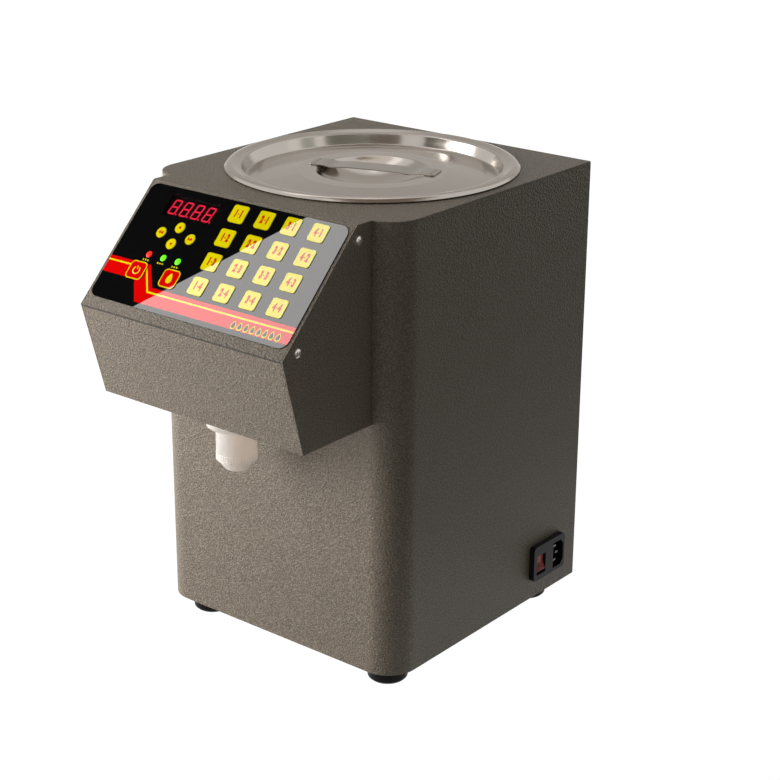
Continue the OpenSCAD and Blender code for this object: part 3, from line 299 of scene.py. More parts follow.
def in_edit(thing, mode, *steps):
    """Runs bpy.ops steps in edit mode on what is selected."""
    pick(thing)
    bpy.ops.object.mode_set(mode="EDIT")
    bpy.context.tool_settings.mesh_select_mode = (
        mode == "VERT",
        mode == "EDGE",
        mode == "FACE",
    )
    for step in steps:
        step()
    bpy.ops.object.mode_set(mode="OBJECT")


def apply_modifier(thing, kind, **values):
    """Adds a modifier with these values and applies it."""
    pick(thing)
    modifier = thing.modifiers.new(kind.title(), kind)
    for key, value in values.items():
        setattr(modifier, key, value)
    bpy.ops.object.modifier_apply(modifier=modifier.name)


def bevel(thing, width, segments=2, angle=30):
    """Rounds the edges that are sharper than the angle."""
    apply_modifier(
        thing,
        "BEVEL",
        width=width,
        segments=segments,
        limit_method="ANGLE",
        angle_limit=math.radians(angle),
        use_clamp_overlap=True,
        miter_outer="MITER_ARC",
    )


def smooth(thing, angle=30):
    """Shades smooth up to an angle, with the larger faces setting the normals."""
    pick(thing)
    bpy.ops.object.shade_smooth_by_angle(angle=math.radians(angle))
    apply_modifier(thing, "WEIGHTED_NORMAL", mode="FACE_AREA", weight=100, keep_sharp=True)


def settle(thing):
    """Puts the object's place, turn and scale into its mesh."""
    pick(thing)
    bpy.ops.object.transform_apply(location=True, rotation=True, scale=True)


def place(thing, matrix):
    """Settles the object and moves its mesh."""
    settle(thing)
    thing.data.transform(matrix)
    thing.data.update()


def join(name, things):
    """Makes one object of several and names it."""
    pick(*things)
    if len(things) > 1:
        bpy.ops.object.join()
    whole = bpy.context.object
    whole.name = name
    whole.data.name = name
    return whole


def paint(thing, material):
    """Gives the object one material."""
    thing.data.materials.clear()
    thing.data.materials.append(material)


def deliver(thing, name, body, slot, material, *nodes):
    """Names a finished piece, paints it and fixes it to its body."""
    thing.name = name
    thing.data.name = name
    paint(thing, material)
    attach(thing, body)
    if nodes:
        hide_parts(*nodes)
    return thing


def node_copy(node, name, flats=True):
    """A copy of a CAD node's mesh, its loose triangles merged, into flat faces if wanted."""
    source = NODES[node]
    thing = bpy.data.objects.new(name, source.data.copy())
    bpy.context.scene.collection.objects.link(thing)
    steps = [
        lambda: bpy.ops.mesh.select_all(action="SELECT"),
        lambda: bpy.ops.mesh.remove_doubles(threshold=1e-6),
    ]
    if flats:
        steps.append(lambda: bpy.ops.mesh.dissolve_limited(angle_limit=math.radians(0.5)))
    in_edit(thing, "VERT", *steps)
    return thing


def refine(node, name, body, slot, material, edge, segments=2, sharp=30, angle=35):
    """Replaces a CAD node by a copy with rounded edges and smooth shading."""
    thing = node_copy(node, name)
    bevel(thing, edge, segments, sharp)
    smooth(thing, angle)
    return deliver(thing, name, body, slot, material, node)


def shades(color, *factors):
    """The colour times each factor, or times each part of a factor that is a colour."""
    return [
        tuple(v * w for v, w in zip(color, f if isinstance(f, tuple) else (f,) * 3))
        for f in factors
    ]


# ---- Material helpers ----


class Graph:
    """A material's node tree with short ways to add nodes."""

    def __init__(self, name):
        self.material = bpy.data.materials.new(name)
        self.material.use_nodes = True
        self.tree = self.material.node_tree
        self.tree.nodes.clear()
        self.output = self.tree.nodes.new("ShaderNodeOutputMaterial")
        self.coords = self.tree.nodes.new("ShaderNodeTexCoord").outputs["Object"]

    def add(self, kind, inputs=None, **settings):
        node = self.tree.nodes.new("ShaderNode" + kind)
        for key, value in settings.items():
            setattr(node, key, value)
        for key, value in (inputs or {}).items():
            if isinstance(value, bpy.types.NodeSocket):
                self.tree.links.new(value, node.inputs[key])
            else:
                node.inputs[key].default_value = value
        return node

    def math(self, operation, a, b=0.0, clamp=False):
        node = self.add("Math", operation=operation, use_clamp=clamp)
        for index, value in enumerate((a, b)):
            if isinstance(value, bpy.types.NodeSocket):
                self.tree.links.new(value, node.inputs[index])
            else:
                node.inputs[index].default_value = value
        return node.outputs[0]

    def noise(self, size, detail=2.0, rough=0.5, coords=None):
        node = self.add(
            "TexNoise",
            {
                "Vector": coords or self.coords,
                "Scale": 1.0 / size,
                "Detail": detail,
                "Roughness": rough,
            },
        )
        return node.outputs["Fac"]

    def ramp(self, value, low, high, low_out=0.0, high_out=1.0):
        node = self.add(
            "MapRange",
            {
                "Value": value,
                "From Min": low,
                "From Max": high,
                "To Min": low_out,
                "To Max": high_out,
            },
            clamp=True,
        )
        return node.outputs["Result"]

    def blend(self, factor, first, second):
        node = self.add("Mix", data_type="RGBA")
        for name, value in (("Factor", factor), ("A", first), ("B", second)):
            index = {"Factor": 0, "A": 6, "B": 7}[name]
            if isinstance(value, bpy.types.NodeSocket):
                self.tree.links.new(value, node.inputs[index])
            elif name == "Factor":
                node.inputs[index].default_value = value
            else:
                node.inputs[index].default_value = (*value, 1)
        return node.outputs[2]

    def mottled(self, size, factor, color):
        """The colour, darker by the factor in soft spots of this size."""
        soft = self.ramp(self.noise(size, 2.0), 0.3, 0.7)
        return self.blend(soft, *shades(color, factor, 1.0))

    def bump(self, height, distance, strength=1.0):
        node = self.add(
            "Bump", {"Height": height, "Distance": distance, "Strength": strength}
        )
        return node.outputs["Normal"]

    def surface(self, **inputs):
        named = {key.replace("_", " "): value for key, value in inputs.items()}
        for key in ("Base Color", "Emission Color", "Specular Tint", "Coat Tint"):
            if isinstance(named.get(key), tuple) and len(named[key]) == 3:
                named[key] = (*named[key], 1)
        shader = self.add("BsdfPrincipled", named)
        self.tree.links.new(shader.outputs[0], self.output.inputs["Surface"])
        return self.material


def powder_coat(coat, name="powder_coat", fold=None):
    """Hammered coat: rounded grains, light and dark flecks and a slow change of tone.

    Above a fold, given by its height, painted shade darkens the coat, and a painted shadow
    line runs under it.
    """
    g = Graph(name)
    grains = g.add(
        "TexVoronoi",
        {"Vector": g.coords, "Scale": 1.0 / coat.grain, "Smoothness": 0.6},
        feature="SMOOTH_F1",
    ).outputs["Distance"]
    fine = g.noise(coat.grain * 0.5, 3.0, 0.65)
    height = g.math("ADD", grains, g.math("MULTIPLY", fine, 0.6))
    speckle = g.noise(coat.grain * 0.62, 2.0, 0.75)
    main, dark, warm, dull, shaded, line = shades(
        coat.color, 1.0, 0.42, (1.25, 0.9, 0.8), 0.8, 0.35, 0.08
    )
    tone = g.blend(g.ramp(speckle, 0.36, 0.54), dark, main)
    color = g.blend(g.ramp(speckle, 0.52, 0.68), tone, tuple(coat.fleck))
    cast = g.ramp(g.noise(coat.grain * 0.9, 1.0), 0.35, 0.65)
    color = g.blend(g.math("MULTIPLY", cast, 0.30), color, warm)
    slow = g.ramp(g.noise(0.09, 2.0), 0.3, 0.7, 0.0, 0.10)
    color = g.blend(slow, color, dull)
    if fold is not None:
        # Painted shade on the slope above the fold, and a painted shadow line just under it
        z = g.add("SeparateXYZ", {"Vector": g.coords}).outputs["Z"]
        above = g.ramp(z, fold - 0.3 * MM, fold + 0.3 * MM, 0.0, SLOPE_PAINTED_SHADE)
        color = g.blend(above, color, shaded)
        top, foot = (fold - reach for reach in FOLD_SHADOW_LINE)
        rise = g.ramp(z, foot - FOLD_SOFT, foot, 0.0, 1.0)
        fall = g.ramp(z, top, top + FOLD_SOFT, 0.85, 0.0)
        color = g.blend(g.math("MULTIPLY", rise, fall), color, line)
    return g.surface(
        Base_Color=color,
        Roughness=g.ramp(fine, 0.3, 0.7, 0.38, 0.50),
        Specular_IOR_Level=0.35,
        Normal=g.bump(height, 0.0006, 0.9),
    )


def steel(settings, name, rough, streak=0.0, tone=1.0):
    """Stainless steel with fine polishing marks and a faint mottle."""
    g = Graph(name)
    stretched = g.add(
        "Mapping", {"Vector": g.coords, "Scale": (1.0, 14.0, 14.0)}
    ).outputs[0]
    lines = g.noise(0.0035, 3.0, 0.6, stretched)
    mottle = g.noise(0.02, 3.0)
    base, dull = shades(settings.color, tone, tone * 0.95)
    color = g.blend(g.ramp(mottle, 0.3, 0.7), dull, base)
    cloud = g.ramp(mottle, 0.3, 0.7, rough * 0.8, rough)
    roughness = g.math("ADD", cloud, g.math("MULTIPLY", lines, streak))
    return g.surface(
        Base_Color=color,
        Metallic=1.0,
        Roughness=roughness,
        Normal=g.bump(lines, 0.00002, 0.25),
    )


def plastic(name, color, rough=0.4, grain=0.0008, depth=0.00003, **more):
    """Moulded plastic or enamel with a fine grain."""
    g = Graph(name)
    fine = g.noise(grain, 3.0)
    return g.surface(
        Base_Color=g.mottled(0.015, 0.94, color),
        Roughness=g.ramp(fine, 0.3, 0.7, rough * 0.85, rough * 1.1),
        Normal=g.bump(fine, depth, 0.5),
        **more,
    )


def film_print(keypad):
    """The film's print: black ground and a red band with a yellow line, both with a bend."""
    g = Graph("keypad_film")
    local = g.add(
        "Mapping",
        {"Vector": g.coords, "Location": PANEL_TOP, "Rotation": (PANEL_TILT, 0, 0)},
        vector_type="TEXTURE",
    ).outputs[0]
    axes = g.add("SeparateXYZ", {"Vector": local}).outputs
    across = axes["X"]
    down = g.math("MULTIPLY", axes["Y"], -1.0)

    def between(value, low, high):
        over = g.math("GREATER_THAN", value, low)
        return g.math("MULTIPLY", over, g.math("LESS_THAN", value, high))

    upper, lower, middle = (
        g.ramp(across, *(v * MM for v in bend)) for bend in (BAND_UPPER, BAND_LOWER, BAND_LINE)
    )
    band = between(down, upper, lower)
    slope = between(across, BAND_LINE[0] * MM, BAND_LINE[1] * MM)
    half = g.math("ADD", g.math("MULTIPLY", slope, LINE_GROWTH), LINE_HALF)
    gap = g.math("ABSOLUTE", g.math("SUBTRACT", down, middle))
    line = g.math("LESS_THAN", gap, half)
    grain = g.ramp(g.noise(0.00045, 2.0, 0.6), 0.42, 0.75)
    pale = tuple(v * 3.0 + 0.001 for v in keypad.film)
    color = g.blend(grain, tuple(keypad.film), pale)
    color = g.blend(band, color, tuple(keypad.red))
    color = g.blend(line, color, tuple(keypad.yellow))
    return g.surface(Base_Color=color, Roughness=0.30, **GLOSS)


def key_film(name, color):
    """Printed key: the same gloss as the film round it."""
    g = Graph(name)
    return g.surface(Base_Color=g.mottled(0.006, 0.95, color), Roughness=0.35, **GLOSS)


def smoked_glass():
    """Window that lets the lit segments through and reflects like the film."""
    g = Graph("smoked_window")
    smoke = g.ramp(g.noise(0.004, 2.0), 0.3, 0.7)
    return g.surface(
        Base_Color=g.blend(smoke, (0.006, 0.002, 0.003), (0.010, 0.003, 0.005)),
        Roughness=0.2,
        Alpha=0.35,
        **GLOSS,
    )


def glowing(name, color, power):
    """A lit surface with fine specks."""
    g = Graph(name)
    shade = g.mottled(0.0006, 0.85, color)
    return g.surface(
        Base_Color=shade,
        Roughness=0.25,
        Emission_Color=shade,
        Emission_Strength=power,
        Specular_IOR_Level=0.6,
    )


def lamp_lenses():
    """Round lamps: the first is red, the others are green."""
    g = Graph("lamp_lenses")
    across = g.add("SeparateXYZ", {"Vector": g.coords}).outputs["X"]
    is_green = g.math("GREATER_THAN", across, sum(LAMP_X[:2]) / 2 * MM)
    color = g.blend(is_green, (0.92, 0.014, 0.003), (0.12, 0.95, 0.004))
    speck = g.noise(0.0012, 2.0)
    return g.surface(
        Base_Color=color,
        Roughness=g.ramp(speck, 0.3, 0.7, 0.2, 0.3),
        Emission_Color=color,
        Emission_Strength=0.8,
        Specular_IOR_Level=0.2,
    )


# ---- Operators: one for each piece or group of like pieces ----


class DressOperator:
    """What every dressing operator shares"""

    bl_options = {"REGISTER", "UNDO"}

    def execute(self, context):
        self.dress(context.scene)
        return {"FINISHED"}


class DISPENSER_OT_sheet_metal(DressOperator, bpy.types.Operator):
    """Rounds the folded edges of the painted sheet metal and gives it its hammered coat"""

    bl_idname = "dispenser.sheet_metal"
    bl_label = "Sheet metal"

    def dress(self, scene):
        coat = scene.dispenser_coat
        finish = powder_coat(coat)
        # The head cover's coat has painted shade on its slope and a painted shadow line under
        # its fold
        folded = powder_coat(coat, "folded_coat", FOLD_HEIGHT)
        for node in ("cabinet_shell", "top_plate", "head_housing", "head_cover"):
            look = folded if node == "head_cover" else finish
            refine(node, node + "_sheet", "cabinet", "powder_coat", look, coat.edge, angle=40)
        for node in ("base_tray", "rear_panel"):
            paint(NODES[node], finish)


class DISPENSER_OT_keypad(DressOperator, bpy.types.Operator):
    """Prints the keypad's film, keys, key numbers and signs"""

    bl_idname = "dispenser.keypad"
    bl_label = "Keypad"

    def dress(self, scene):
        keypad = scene.dispenser_keypad
        paint(NODES["keypad_overlay"], film_print(keypad))
        yellow = key_film("key_yellow", tuple(keypad.yellow))
        red = key_film("key_red", tuple(keypad.red))
        legend_red = key_film("legend_red", (0.83, 0.012, 0.008))
        for column, row in NUMBER_KEYS:
            node = f"key_{column}_{row}"
            paint(NODES[node], yellow)
            x = keypad.first_x + (column - 1) * keypad.pitch_x
            s = keypad.first_s + (row - 1) * keypad.pitch_s
            text = self.legend(f"{column}-{row}", keypad.legend)
            place(text, PANEL @ Matrix.Translation((x, -s, KEY_TOP - INK * 0.2)))
            deliver(text, f"legend_{column}_{row}", node, "red_plastic", legend_red)
        for node, (x, s, turn) in ARROW_SPOTS.items():
            paint(NODES[node], yellow)
            sign = self.arrow(double=node in ("key_left", "key_right"))
            spot = Matrix.Translation((x * MM, -s * MM, KEY_TOP))
            place(sign, PANEL @ spot @ Matrix.Rotation(math.radians(turn), 4, "Z"))
            deliver(sign, "sign_" + node[4:], node, "red_plastic", legend_red)
        icons = {"key_power": self.power_icon, "key_start": self.drop_icon}
        for node, (x, s) in RED_KEY_SPOTS.items():
            paint(NODES[node], red)
            ring = self.outline(*(v * MM for v in RED_KEY_SIZE), keypad.outline)
            sign = join("sign_" + node[4:], [ring] + icons[node]())
            place(sign, PANEL @ Matrix.Translation((x * MM, -s * MM, KEY_TOP)))
            deliver(sign, "sign_" + node[4:], node, "key_yellow", yellow)
        self.marks(yellow)

    def legend(self, words, height):
        """Two bold narrow digits with a short dash between them."""
        marks = [self.dash(DIGIT_DASH, scale=(1.35, 1, 1))]
        for digit, x in ((words[0], -DIGIT_SIDE), (words[-1], DIGIT_SIDE)):
            text = new(bpy.ops.object.text_add, location=(x, 0, 0))
            text.data.body = digit
            text.data.size = height
            text.data.align_x = "CENTER"
            text.data.align_y = "CENTER"
            text.data.offset = DIGIT_BOLD
            text.data.extrude = INK
            text.data.resolution_u = 3
            text.scale = DIGIT_SHAPE
            bpy.ops.object.convert(target="MESH")
            settle(text)
            marks.append(bpy.context.object)
        return join("legend", marks)

    def flat(self, sides, radius, y=0.0, turn=0.0, scale=(1, 1, 1)):
        """A flat shape with this many sides, turned and then scaled."""
        thing = new(
            bpy.ops.mesh.primitive_cylinder_add,
            vertices=sides,
            radius=radius,
            depth=2 * INK,
            location=(0, y, 0),
        )
        thing.rotation_euler = (0, 0, math.radians(turn))
        thing.scale = scale
        settle(thing)
        return thing

    def dash(self, radius, y=0.0, scale=(1, 1, 1)):
        """A short bar with cut corners."""
        return self.flat(8, radius, y, 22.5, scale)

    def arrow(self, double):
        """One triangle, or two behind each other."""
        if not double:
            return self.flat(3, ARROW_RADIUS)
        return join("arrow", [self.flat(3, ARROW_RADIUS, y) for y in ARROW_PAIR])

    def outline(self, width, height, radius, stroke):
        """A flat frame with round corners."""
        ring = new(bpy.ops.mesh.primitive_plane_add, size=1)
        ring.scale = (width, height, 1)
        settle(ring)
        in_edit(
            ring,
            "VERT",
            lambda: bpy.ops.mesh.select_all(action="SELECT"),
            lambda: bpy.ops.mesh.bevel(offset=radius, segments=6, affect="VERTICES"),
            lambda: bpy.ops.mesh.select_mode(type="FACE"),
            lambda: bpy.ops.mesh.select_all(action="SELECT"),
            lambda: bpy.ops.mesh.inset(thickness=stroke),
            lambda: bpy.ops.mesh.delete(type="FACE"),
        )
        apply_modifier(ring, "SOLIDIFY", thickness=2 * INK, offset=0.0)
        return ring

    def ring_arc(self, radius, stroke, gap_degrees):
        """A flat ring that is open at the top."""
        ring = new(
            bpy.ops.mesh.primitive_torus_add,
            major_radius=radius,
            minor_radius=stroke,
            major_segments=36,
            minor_segments=6,
        )
        ring.scale = (1, 1, INK / stroke)
        settle(ring)
        half = math.radians(gap_degrees / 2)
        choose(
            ring,
            "polygons",
            lambda f: abs(math.atan2(f.center.x, f.center.y)) < half,
        )
        in_edit(
            ring,
            "FACE",
            lambda: bpy.ops.mesh.delete(type="FACE"),
            lambda: bpy.ops.mesh.select_all(action="SELECT"),
            lambda: bpy.ops.mesh.fill_holes(sides=0),
        )
        return ring

    def power_icon(self):
        """An open ring with a bar in its opening."""
        ring = self.ring_arc(POWER_RING, POWER_STROKE, POWER_OPENING)
        bar = self.dash(POWER_STROKE, POWER_BAR, (1, 3.6, 1))
        return [ring, bar]

    def drop_icon(self):
        """A disc whose upper half is drawn out to a point."""
        radius, middle, reach = 3.0 * MM, -1.3 * MM, 6.4 * MM
        drop = self.flat(24, radius, middle)
        for v in drop.data.vertices:
            if v.co.y > middle:
                rise = (v.co.y - middle) / radius
                v.co.x *= 1 - 0.75 * rise * rise
                v.co.y = middle + reach * rise
        return [drop]

    def marks(self, yellow):
        """Small drops in the title's place, and dashes under the lamps."""
        marks = []
        cores = []
        for i in range(TITLE_DROPS):
            across = (TITLE_START[0] + i * TITLE_PITCH) * MM
            for size, lift, drops in ((TITLE_SCALE, 0, marks), (CORE_SCALE, INK, cores)):
                drop = self.drop_icon()[0]
                spot = Matrix.Translation((across, -TITLE_START[1] * MM, lift))
                drop.data.transform(spot @ Matrix.Scale(size, 4))
                drops.append(drop)
        for x in LAMP_X:
            for i in (-1, 0, 1):
                dash = self.dash(LABEL_DASH, scale=(1, 1.2, 1))
                spot = ((x + LABEL_PITCH * i) * MM, -LABEL_DOWN * MM, 0)
                dash.data.transform(Matrix.Translation(spot))
                marks.append(dash)
        black = key_film("ink_black", (0.02, 0.02, 0.02))
        for name, parts, slot, ink in (
            ("film_marks", marks, "key_yellow", yellow),
            ("film_mark_cores", cores, "black_plastic", black),
        ):
            whole = join(name, parts)
            whole.data.transform(PANEL @ Matrix.Translation((0, 0, FILM_TOP)))
            deliver(whole, name, "cabinet", slot, ink)


class DISPENSER_OT_display(DressOperator, bpy.types.Operator):
    """Makes the lit four-digit display under its smoked window"""

    bl_idname = "dispenser.display"
    bl_label = "Display"

    def dress(self, scene):
        display = scene.dispenser_display
        paint(NODES["display_window"], smoked_glass())
        paint(NODES["indicator_lamps"], lamp_lenses())
        self.block()
        lit = glowing("lit_segment", tuple(display.glow), display.power)
        digits = []
        for i in range(4):
            digits += self.digit(display, (i - 1.5) * display.pitch)
        whole = join("lit_digits", digits)
        spot = Matrix.Translation((*DIGITS_SPOT, SEGMENT_TOP - 2 * INK))
        whole.data.transform(PANEL @ spot)
        deliver(whole, "lit_digits", "cabinet", "red_plastic", lit)

    def block(self):
        """The dark moulded block that carries the digits, in the place of the display node."""
        inward = PANEL.inverted()
        corners = [inward @ v.co for v in NODES["display_module"].data.vertices]
        low = Vector(min(c[i] for c in corners) for i in range(3))
        high = Vector(max(c[i] for c in corners) for i in range(3))
        high.z = SEGMENT_TOP - SEGMENT_OUT
        block = new(bpy.ops.mesh.primitive_cube_add, size=1)
        block.scale = high - low
        block.location = (high + low) / 2
        settle(block)
        bevel(block, 0.0004, 2)
        block.data.transform(PANEL)
        dark = plastic("display_block", (0.010, 0.006, 0.007), 0.6, Specular_IOR_Level=0.05)
        deliver(block, "display_block", "cabinet", "black_plastic", dark, "display_module")

    def digit(self, display, across):
        """Seven segments and a point, leaning to the right."""
        half_w = display.digit * 0.25
        half_h = display.digit / 2 - display.bar / 2
        bars = []
        for y in (-half_h, 0, half_h):
            bars.append(self.segment(display, 2 * half_w, 0, y, 0))
        for x in (-half_w, half_w):
            for y in (-half_h / 2, half_h / 2):
                bars.append(self.segment(display, half_h, x, y, 90))
        point = new(
            bpy.ops.mesh.primitive_cylinder_add,
            vertices=16,
            radius=POINT_RADIUS,
            depth=4 * INK,
            location=(half_w + POINT_SIDE, -half_h, 0),
        )
        settle(point)
        bars.append(point)
        shear = Matrix.Identity(4)
        shear[0][1] = math.tan(math.radians(display.slant))
        for bar in bars:
            bar.data.transform(Matrix.Translation((across, 0, 0)) @ shear)
        return bars

    def segment(self, display, span, x, y, turn):
        """A flat bar with cut corners."""
        half = span / 2 - SEGMENT_GAP
        slim = display.bar / 2
        bar = new(bpy.ops.mesh.primitive_cube_add, size=1)
        bar.scale = (2 * half, 2 * slim, 4 * INK)
        settle(bar)
        choose(bar, "edges", lambda e: self.upright(bar, e))
        in_edit(
            bar,
            "EDGE",
            lambda: bpy.ops.mesh.bevel(offset=slim * 0.92, segments=1, affect="EDGES"),
        )
        bar.data.transform(
            Matrix.Translation((x, y, 0)) @ Matrix.Rotation(math.radians(turn), 4, "Z")
        )
        return bar

    def upright(self, thing, e):
        """True for an edge that stands on the panel."""
        a, b = (thing.data.vertices[i].co for i in e.vertices)
        return abs(a.z - b.z) > INK


class DISPENSER_OT_lid(DressOperator, bpy.types.Operator):
    """Gives the lid, its strap and the pot their steel"""

    bl_idname = "dispenser.lid"
    bl_label = "Lid and pot"

    def dress(self, scene):
        settings = scene.dispenser_steel
        polished = steel(settings, "lid_steel", settings.polish)
        # The strap's steel is a darker copy of the lid's steel: painted shade for the darker
        # reflection that the strap shows
        strap = steel(settings, "strap_steel", settings.polish * 1.2, 0.06, 0.76)
        inner = steel(settings, "pot_steel", 0.3, 0.05)
        lid = self.pressing()
        smooth(lid, 35)
        deliver(lid, "lid_pressing", "lid", "stainless", polished, "lid")
        edge = 0.35 * MM
        refine("lid_handle", "strap_handle", "lid", "stainless", strap, edge, angle=30)
        self.weld_spots(settings)
        paint(NODES["syrup_pot"], inner)
        paint(NODES["pot_gasket"], plastic("seal_silicone", (0.75, 0.74, 0.70), 0.5))

    def pressing(self):
        """The lid's own section, with rounded bends, turned about the lid's axis."""
        low, high = (Vector(c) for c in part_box("lid"))
        middle = (low + high) / 2
        lid = node_copy("lid", "lid_pressing", flats=False)
        choose(
            lid,
            "vertices",
            lambda v: abs(v.co.y - middle.y) > SEAM_NEAR or v.co.x < middle.x - SEAM_NEAR,
        )
        in_edit(lid, "VERT", lambda: bpy.ops.mesh.delete(type="VERT"))
        choose(lid, "vertices", lambda v: BEND_FROM < v.co.x - middle.x < BEND_TO)
        in_edit(
            lid,
            "VERT",
            lambda: bpy.ops.mesh.bevel(offset=BEND_SIZE, segments=4, affect="VERTICES"),
            lambda: bpy.ops.mesh.select_all(action="SELECT"),
            lambda: bpy.ops.mesh.spin(
                steps=LID_STEPS,
                angle=math.tau,
                center=(middle.x, middle.y, 0),
                axis=(0, 0, 1),
            ),
            lambda: bpy.ops.mesh.select_all(action="SELECT"),
            lambda: bpy.ops.mesh.remove_doubles(threshold=1e-6),
            lambda: bpy.ops.mesh.normals_make_consistent(inside=False),
        )
        return lid

    def weld_spots(self, settings):
        """Three small weld marks across each end of the strap."""
        dark = steel(settings, "weld_steel", 0.35, 0.0, 0.45)
        low, high = (Vector(c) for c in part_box("lid_handle"))
        turn = Matrix.Rotation(math.radians(STRAP_TURN), 4, "Z")
        middle = (low + high) / 2
        spots = []
        for end in (-1, 1):
            for across in (-1, 0, 1):
                spot = new(
                    bpy.ops.mesh.primitive_uv_sphere_add,
                    segments=16,
                    ring_count=8,
                    radius=WELD_RADIUS,
                )
                spot.scale = (1, 1, 0.18)
                settle(spot)
                reach = turn @ Vector((end * STRAP_REACH, across * WELD_PITCH, 0))
                spot.data.transform(Matrix.Translation((*(middle + reach).xy, high.z)))
                smooth(spot, 60)
                spots.append(spot)
        whole = join("weld_spots", spots)
        deliver(whole, "weld_spots", "lid", "stainless", dark)


class DISPENSER_OT_nozzle(DressOperator, bpy.types.Operator):
    """Finishes the white nozzle, its cap and the hoses"""

    bl_idname = "dispenser.nozzle"
    bl_label = "Nozzle and hoses"

    def dress(self, scene):
        # The nylon glows faintly warm: painted light that lifts the nozzle's shaded side
        nylon_painted_glow = plastic(
            "white_nylon",
            (0.80, 0.755, 0.70),
            0.36,
            0.0006,
            0.00002,
            Subsurface_Weight=1.0,
            Subsurface_Radius=(0.030, 0.026, 0.022),
            Emission_Color=(1.0, 0.87, 0.78, 1.0),
            Emission_Strength=0.14,
            Subsurface_Scale=1.0,
        )
        for node, name, body, edge, segments, sharp in (
            ("nozzle_body", "nozzle_collar", "cabinet", 0.8, 3, 30),
            ("nozzle_cap", "nozzle_screw_cap", "nozzle_cap", 0.25, 2, 40),
        ):
            refine(node, name, body, "white_nylon", nylon_painted_glow, edge * MM, segments, sharp)
        paint(NODES["nozzle_nut"], nylon_painted_glow)
        hose = plastic("clear_hose", (0.72, 0.73, 0.69), 0.2, Alpha=0.75)
        for node in ("suction_hose", "delivery_hose"):
            paint(NODES[node], hose)


class DISPENSER_OT_inlet(DressOperator, bpy.types.Operator):
    """Finishes the mains inlet, its pins and the red rocker with its two marks"""

    bl_idname = "dispenser.inlet"
    bl_label = "Mains inlet"

    def dress(self, scene):
        black = plastic(
            "inlet_plastic",
            (0.013, 0.013, 0.015),
            0.42,
            0.0007,
            0.00004,
            Specular_IOR_Level=0.15,
        )
        lens = self.rocker_lens()
        for node, name, body, slot, look, edge, sharp, angle in (
            ("inlet_socket", "inlet_moulding", "cabinet", "black_plastic", black, 0.6, 30, 35),
            ("power_rocker", "rocker_lens", "power_rocker", "red_plastic", lens, 0.5, 20, 30),
        ):
            refine(node, name, body, slot, look, edge * MM, 2, sharp, angle)
        # The pins' steel is darkened to a quarter: painted shade for their place deep in the
        # socket
        paint(NODES["inlet_pins"], steel(scene.dispenser_steel, "plated_pins", 0.3, 0.0, 0.25))
        self.rocker_marks()

    def rocker_lens(self):
        """Red plastic, lighter and paler towards the upper half as a painted highlight."""
        g = Graph("rocker_lens")
        low, high = (Vector(c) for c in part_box("power_rocker"))
        up = g.add("SeparateXYZ", {"Vector": g.coords}).outputs["Z"]
        # Painted highlight: the upper half turns lighter red, with soft spots
        rise = g.ramp(up, (low.z * 2 + high.z) / 3, (low.z + high.z * 2) / 3)
        cloud = g.math("MULTIPLY", rise, g.ramp(g.noise(0.003, 2.0), 0.3, 0.7, 0.7, 1.0))
        return g.surface(
            Base_Color=g.blend(cloud, (0.46, 0.030, 0.025), (0.85, 0.130, 0.090)),
            Roughness=0.3,
            Specular_IOR_Level=0.3,
        )

    def rocker_marks(self):
        """A bar and a ring, one on each half of the rocker."""
        white = plastic("rocker_marks", (0.60, 0.16, 0.12), 0.4)
        low, high = (Vector(c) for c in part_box("power_rocker"))
        middle = (low + high) / 2
        bar = new(bpy.ops.mesh.primitive_cube_add, size=1)
        bar.scale = (2 * INK, *ROCKER_BAR)
        ring = new(
            bpy.ops.mesh.primitive_torus_add,
            major_radius=ROCKER_RING[0],
            minor_radius=ROCKER_RING[1],
            major_segments=24,
            minor_segments=6,
        )
        ring.rotation_euler = (0, math.radians(90), 0)
        for mark, half in ((bar, 1), (ring, -1)):
            lean = Matrix.Rotation(half * ROCKER_LEAN - ROCKER_TILT, 4, "Y")
            spot = Matrix.Translation((ROCKER_FACE + INK, 0, half * ROCKER_MARK))
            place(mark, lean @ spot)
        marks = join("rocker_marks", [ring, bar])
        marks.data.transform(Matrix.Translation((ROCKER_PIVOT_X, middle.y, middle.z)))
        deliver(marks, "rocker_marks", "power_rocker", "white_nylon", white)


class DISPENSER_OT_fittings(DressOperator, bpy.types.Operator):
    """Finishes feet, screws, pump, boards and cables"""

    bl_idname = "dispenser.fittings"
    bl_label = "Feet, screws and inner parts"

    def dress(self, scene):
        rubber = plastic(
            "foot_rubber",
            (0.006, 0.006, 0.006),
            0.4,
            0.0009,
            0.00004,
            Specular_IOR_Level=0.1,
        )
        refine("feet", "rubber_feet", "cabinet", "foot_rubber", rubber, 0.6 * MM)
        metal = scene.dispenser_steel
        for look, nodes in (
            (
                steel(metal, "zinc_steel", 0.36, 0.04, 1.5),
                ("case_screws", "pump_screws", "pump_bracket", "hose_clamps"),
            ),
            (
                steel(metal, "cast_aluminium", 0.42, 0.08, 1.3),
                ("pump_body", "pump_cover", "power_supply"),
            ),
            (steel(metal, "gear_steel", 0.2, 0.03, 1.2), ("drive_gear", "idler_gear")),
            (plastic("motor_enamel", (0.09, 0.09, 0.10)), ("pump_motor",)),
            (
                plastic("solder_mask", (0.012, 0.09, 0.035), 0.35),
                ("keypad_board", "control_board"),
            ),
            (
                plastic("black_fittings", (0.02, 0.02, 0.02), 0.45),
                ("tactile_switches", "wiring_loom"),
            ),
            (plastic("nylon_spacers", (0.78, 0.76, 0.70)), ("board_spacers",)),
        ):
            for node in nodes:
                paint(NODES[node], look)


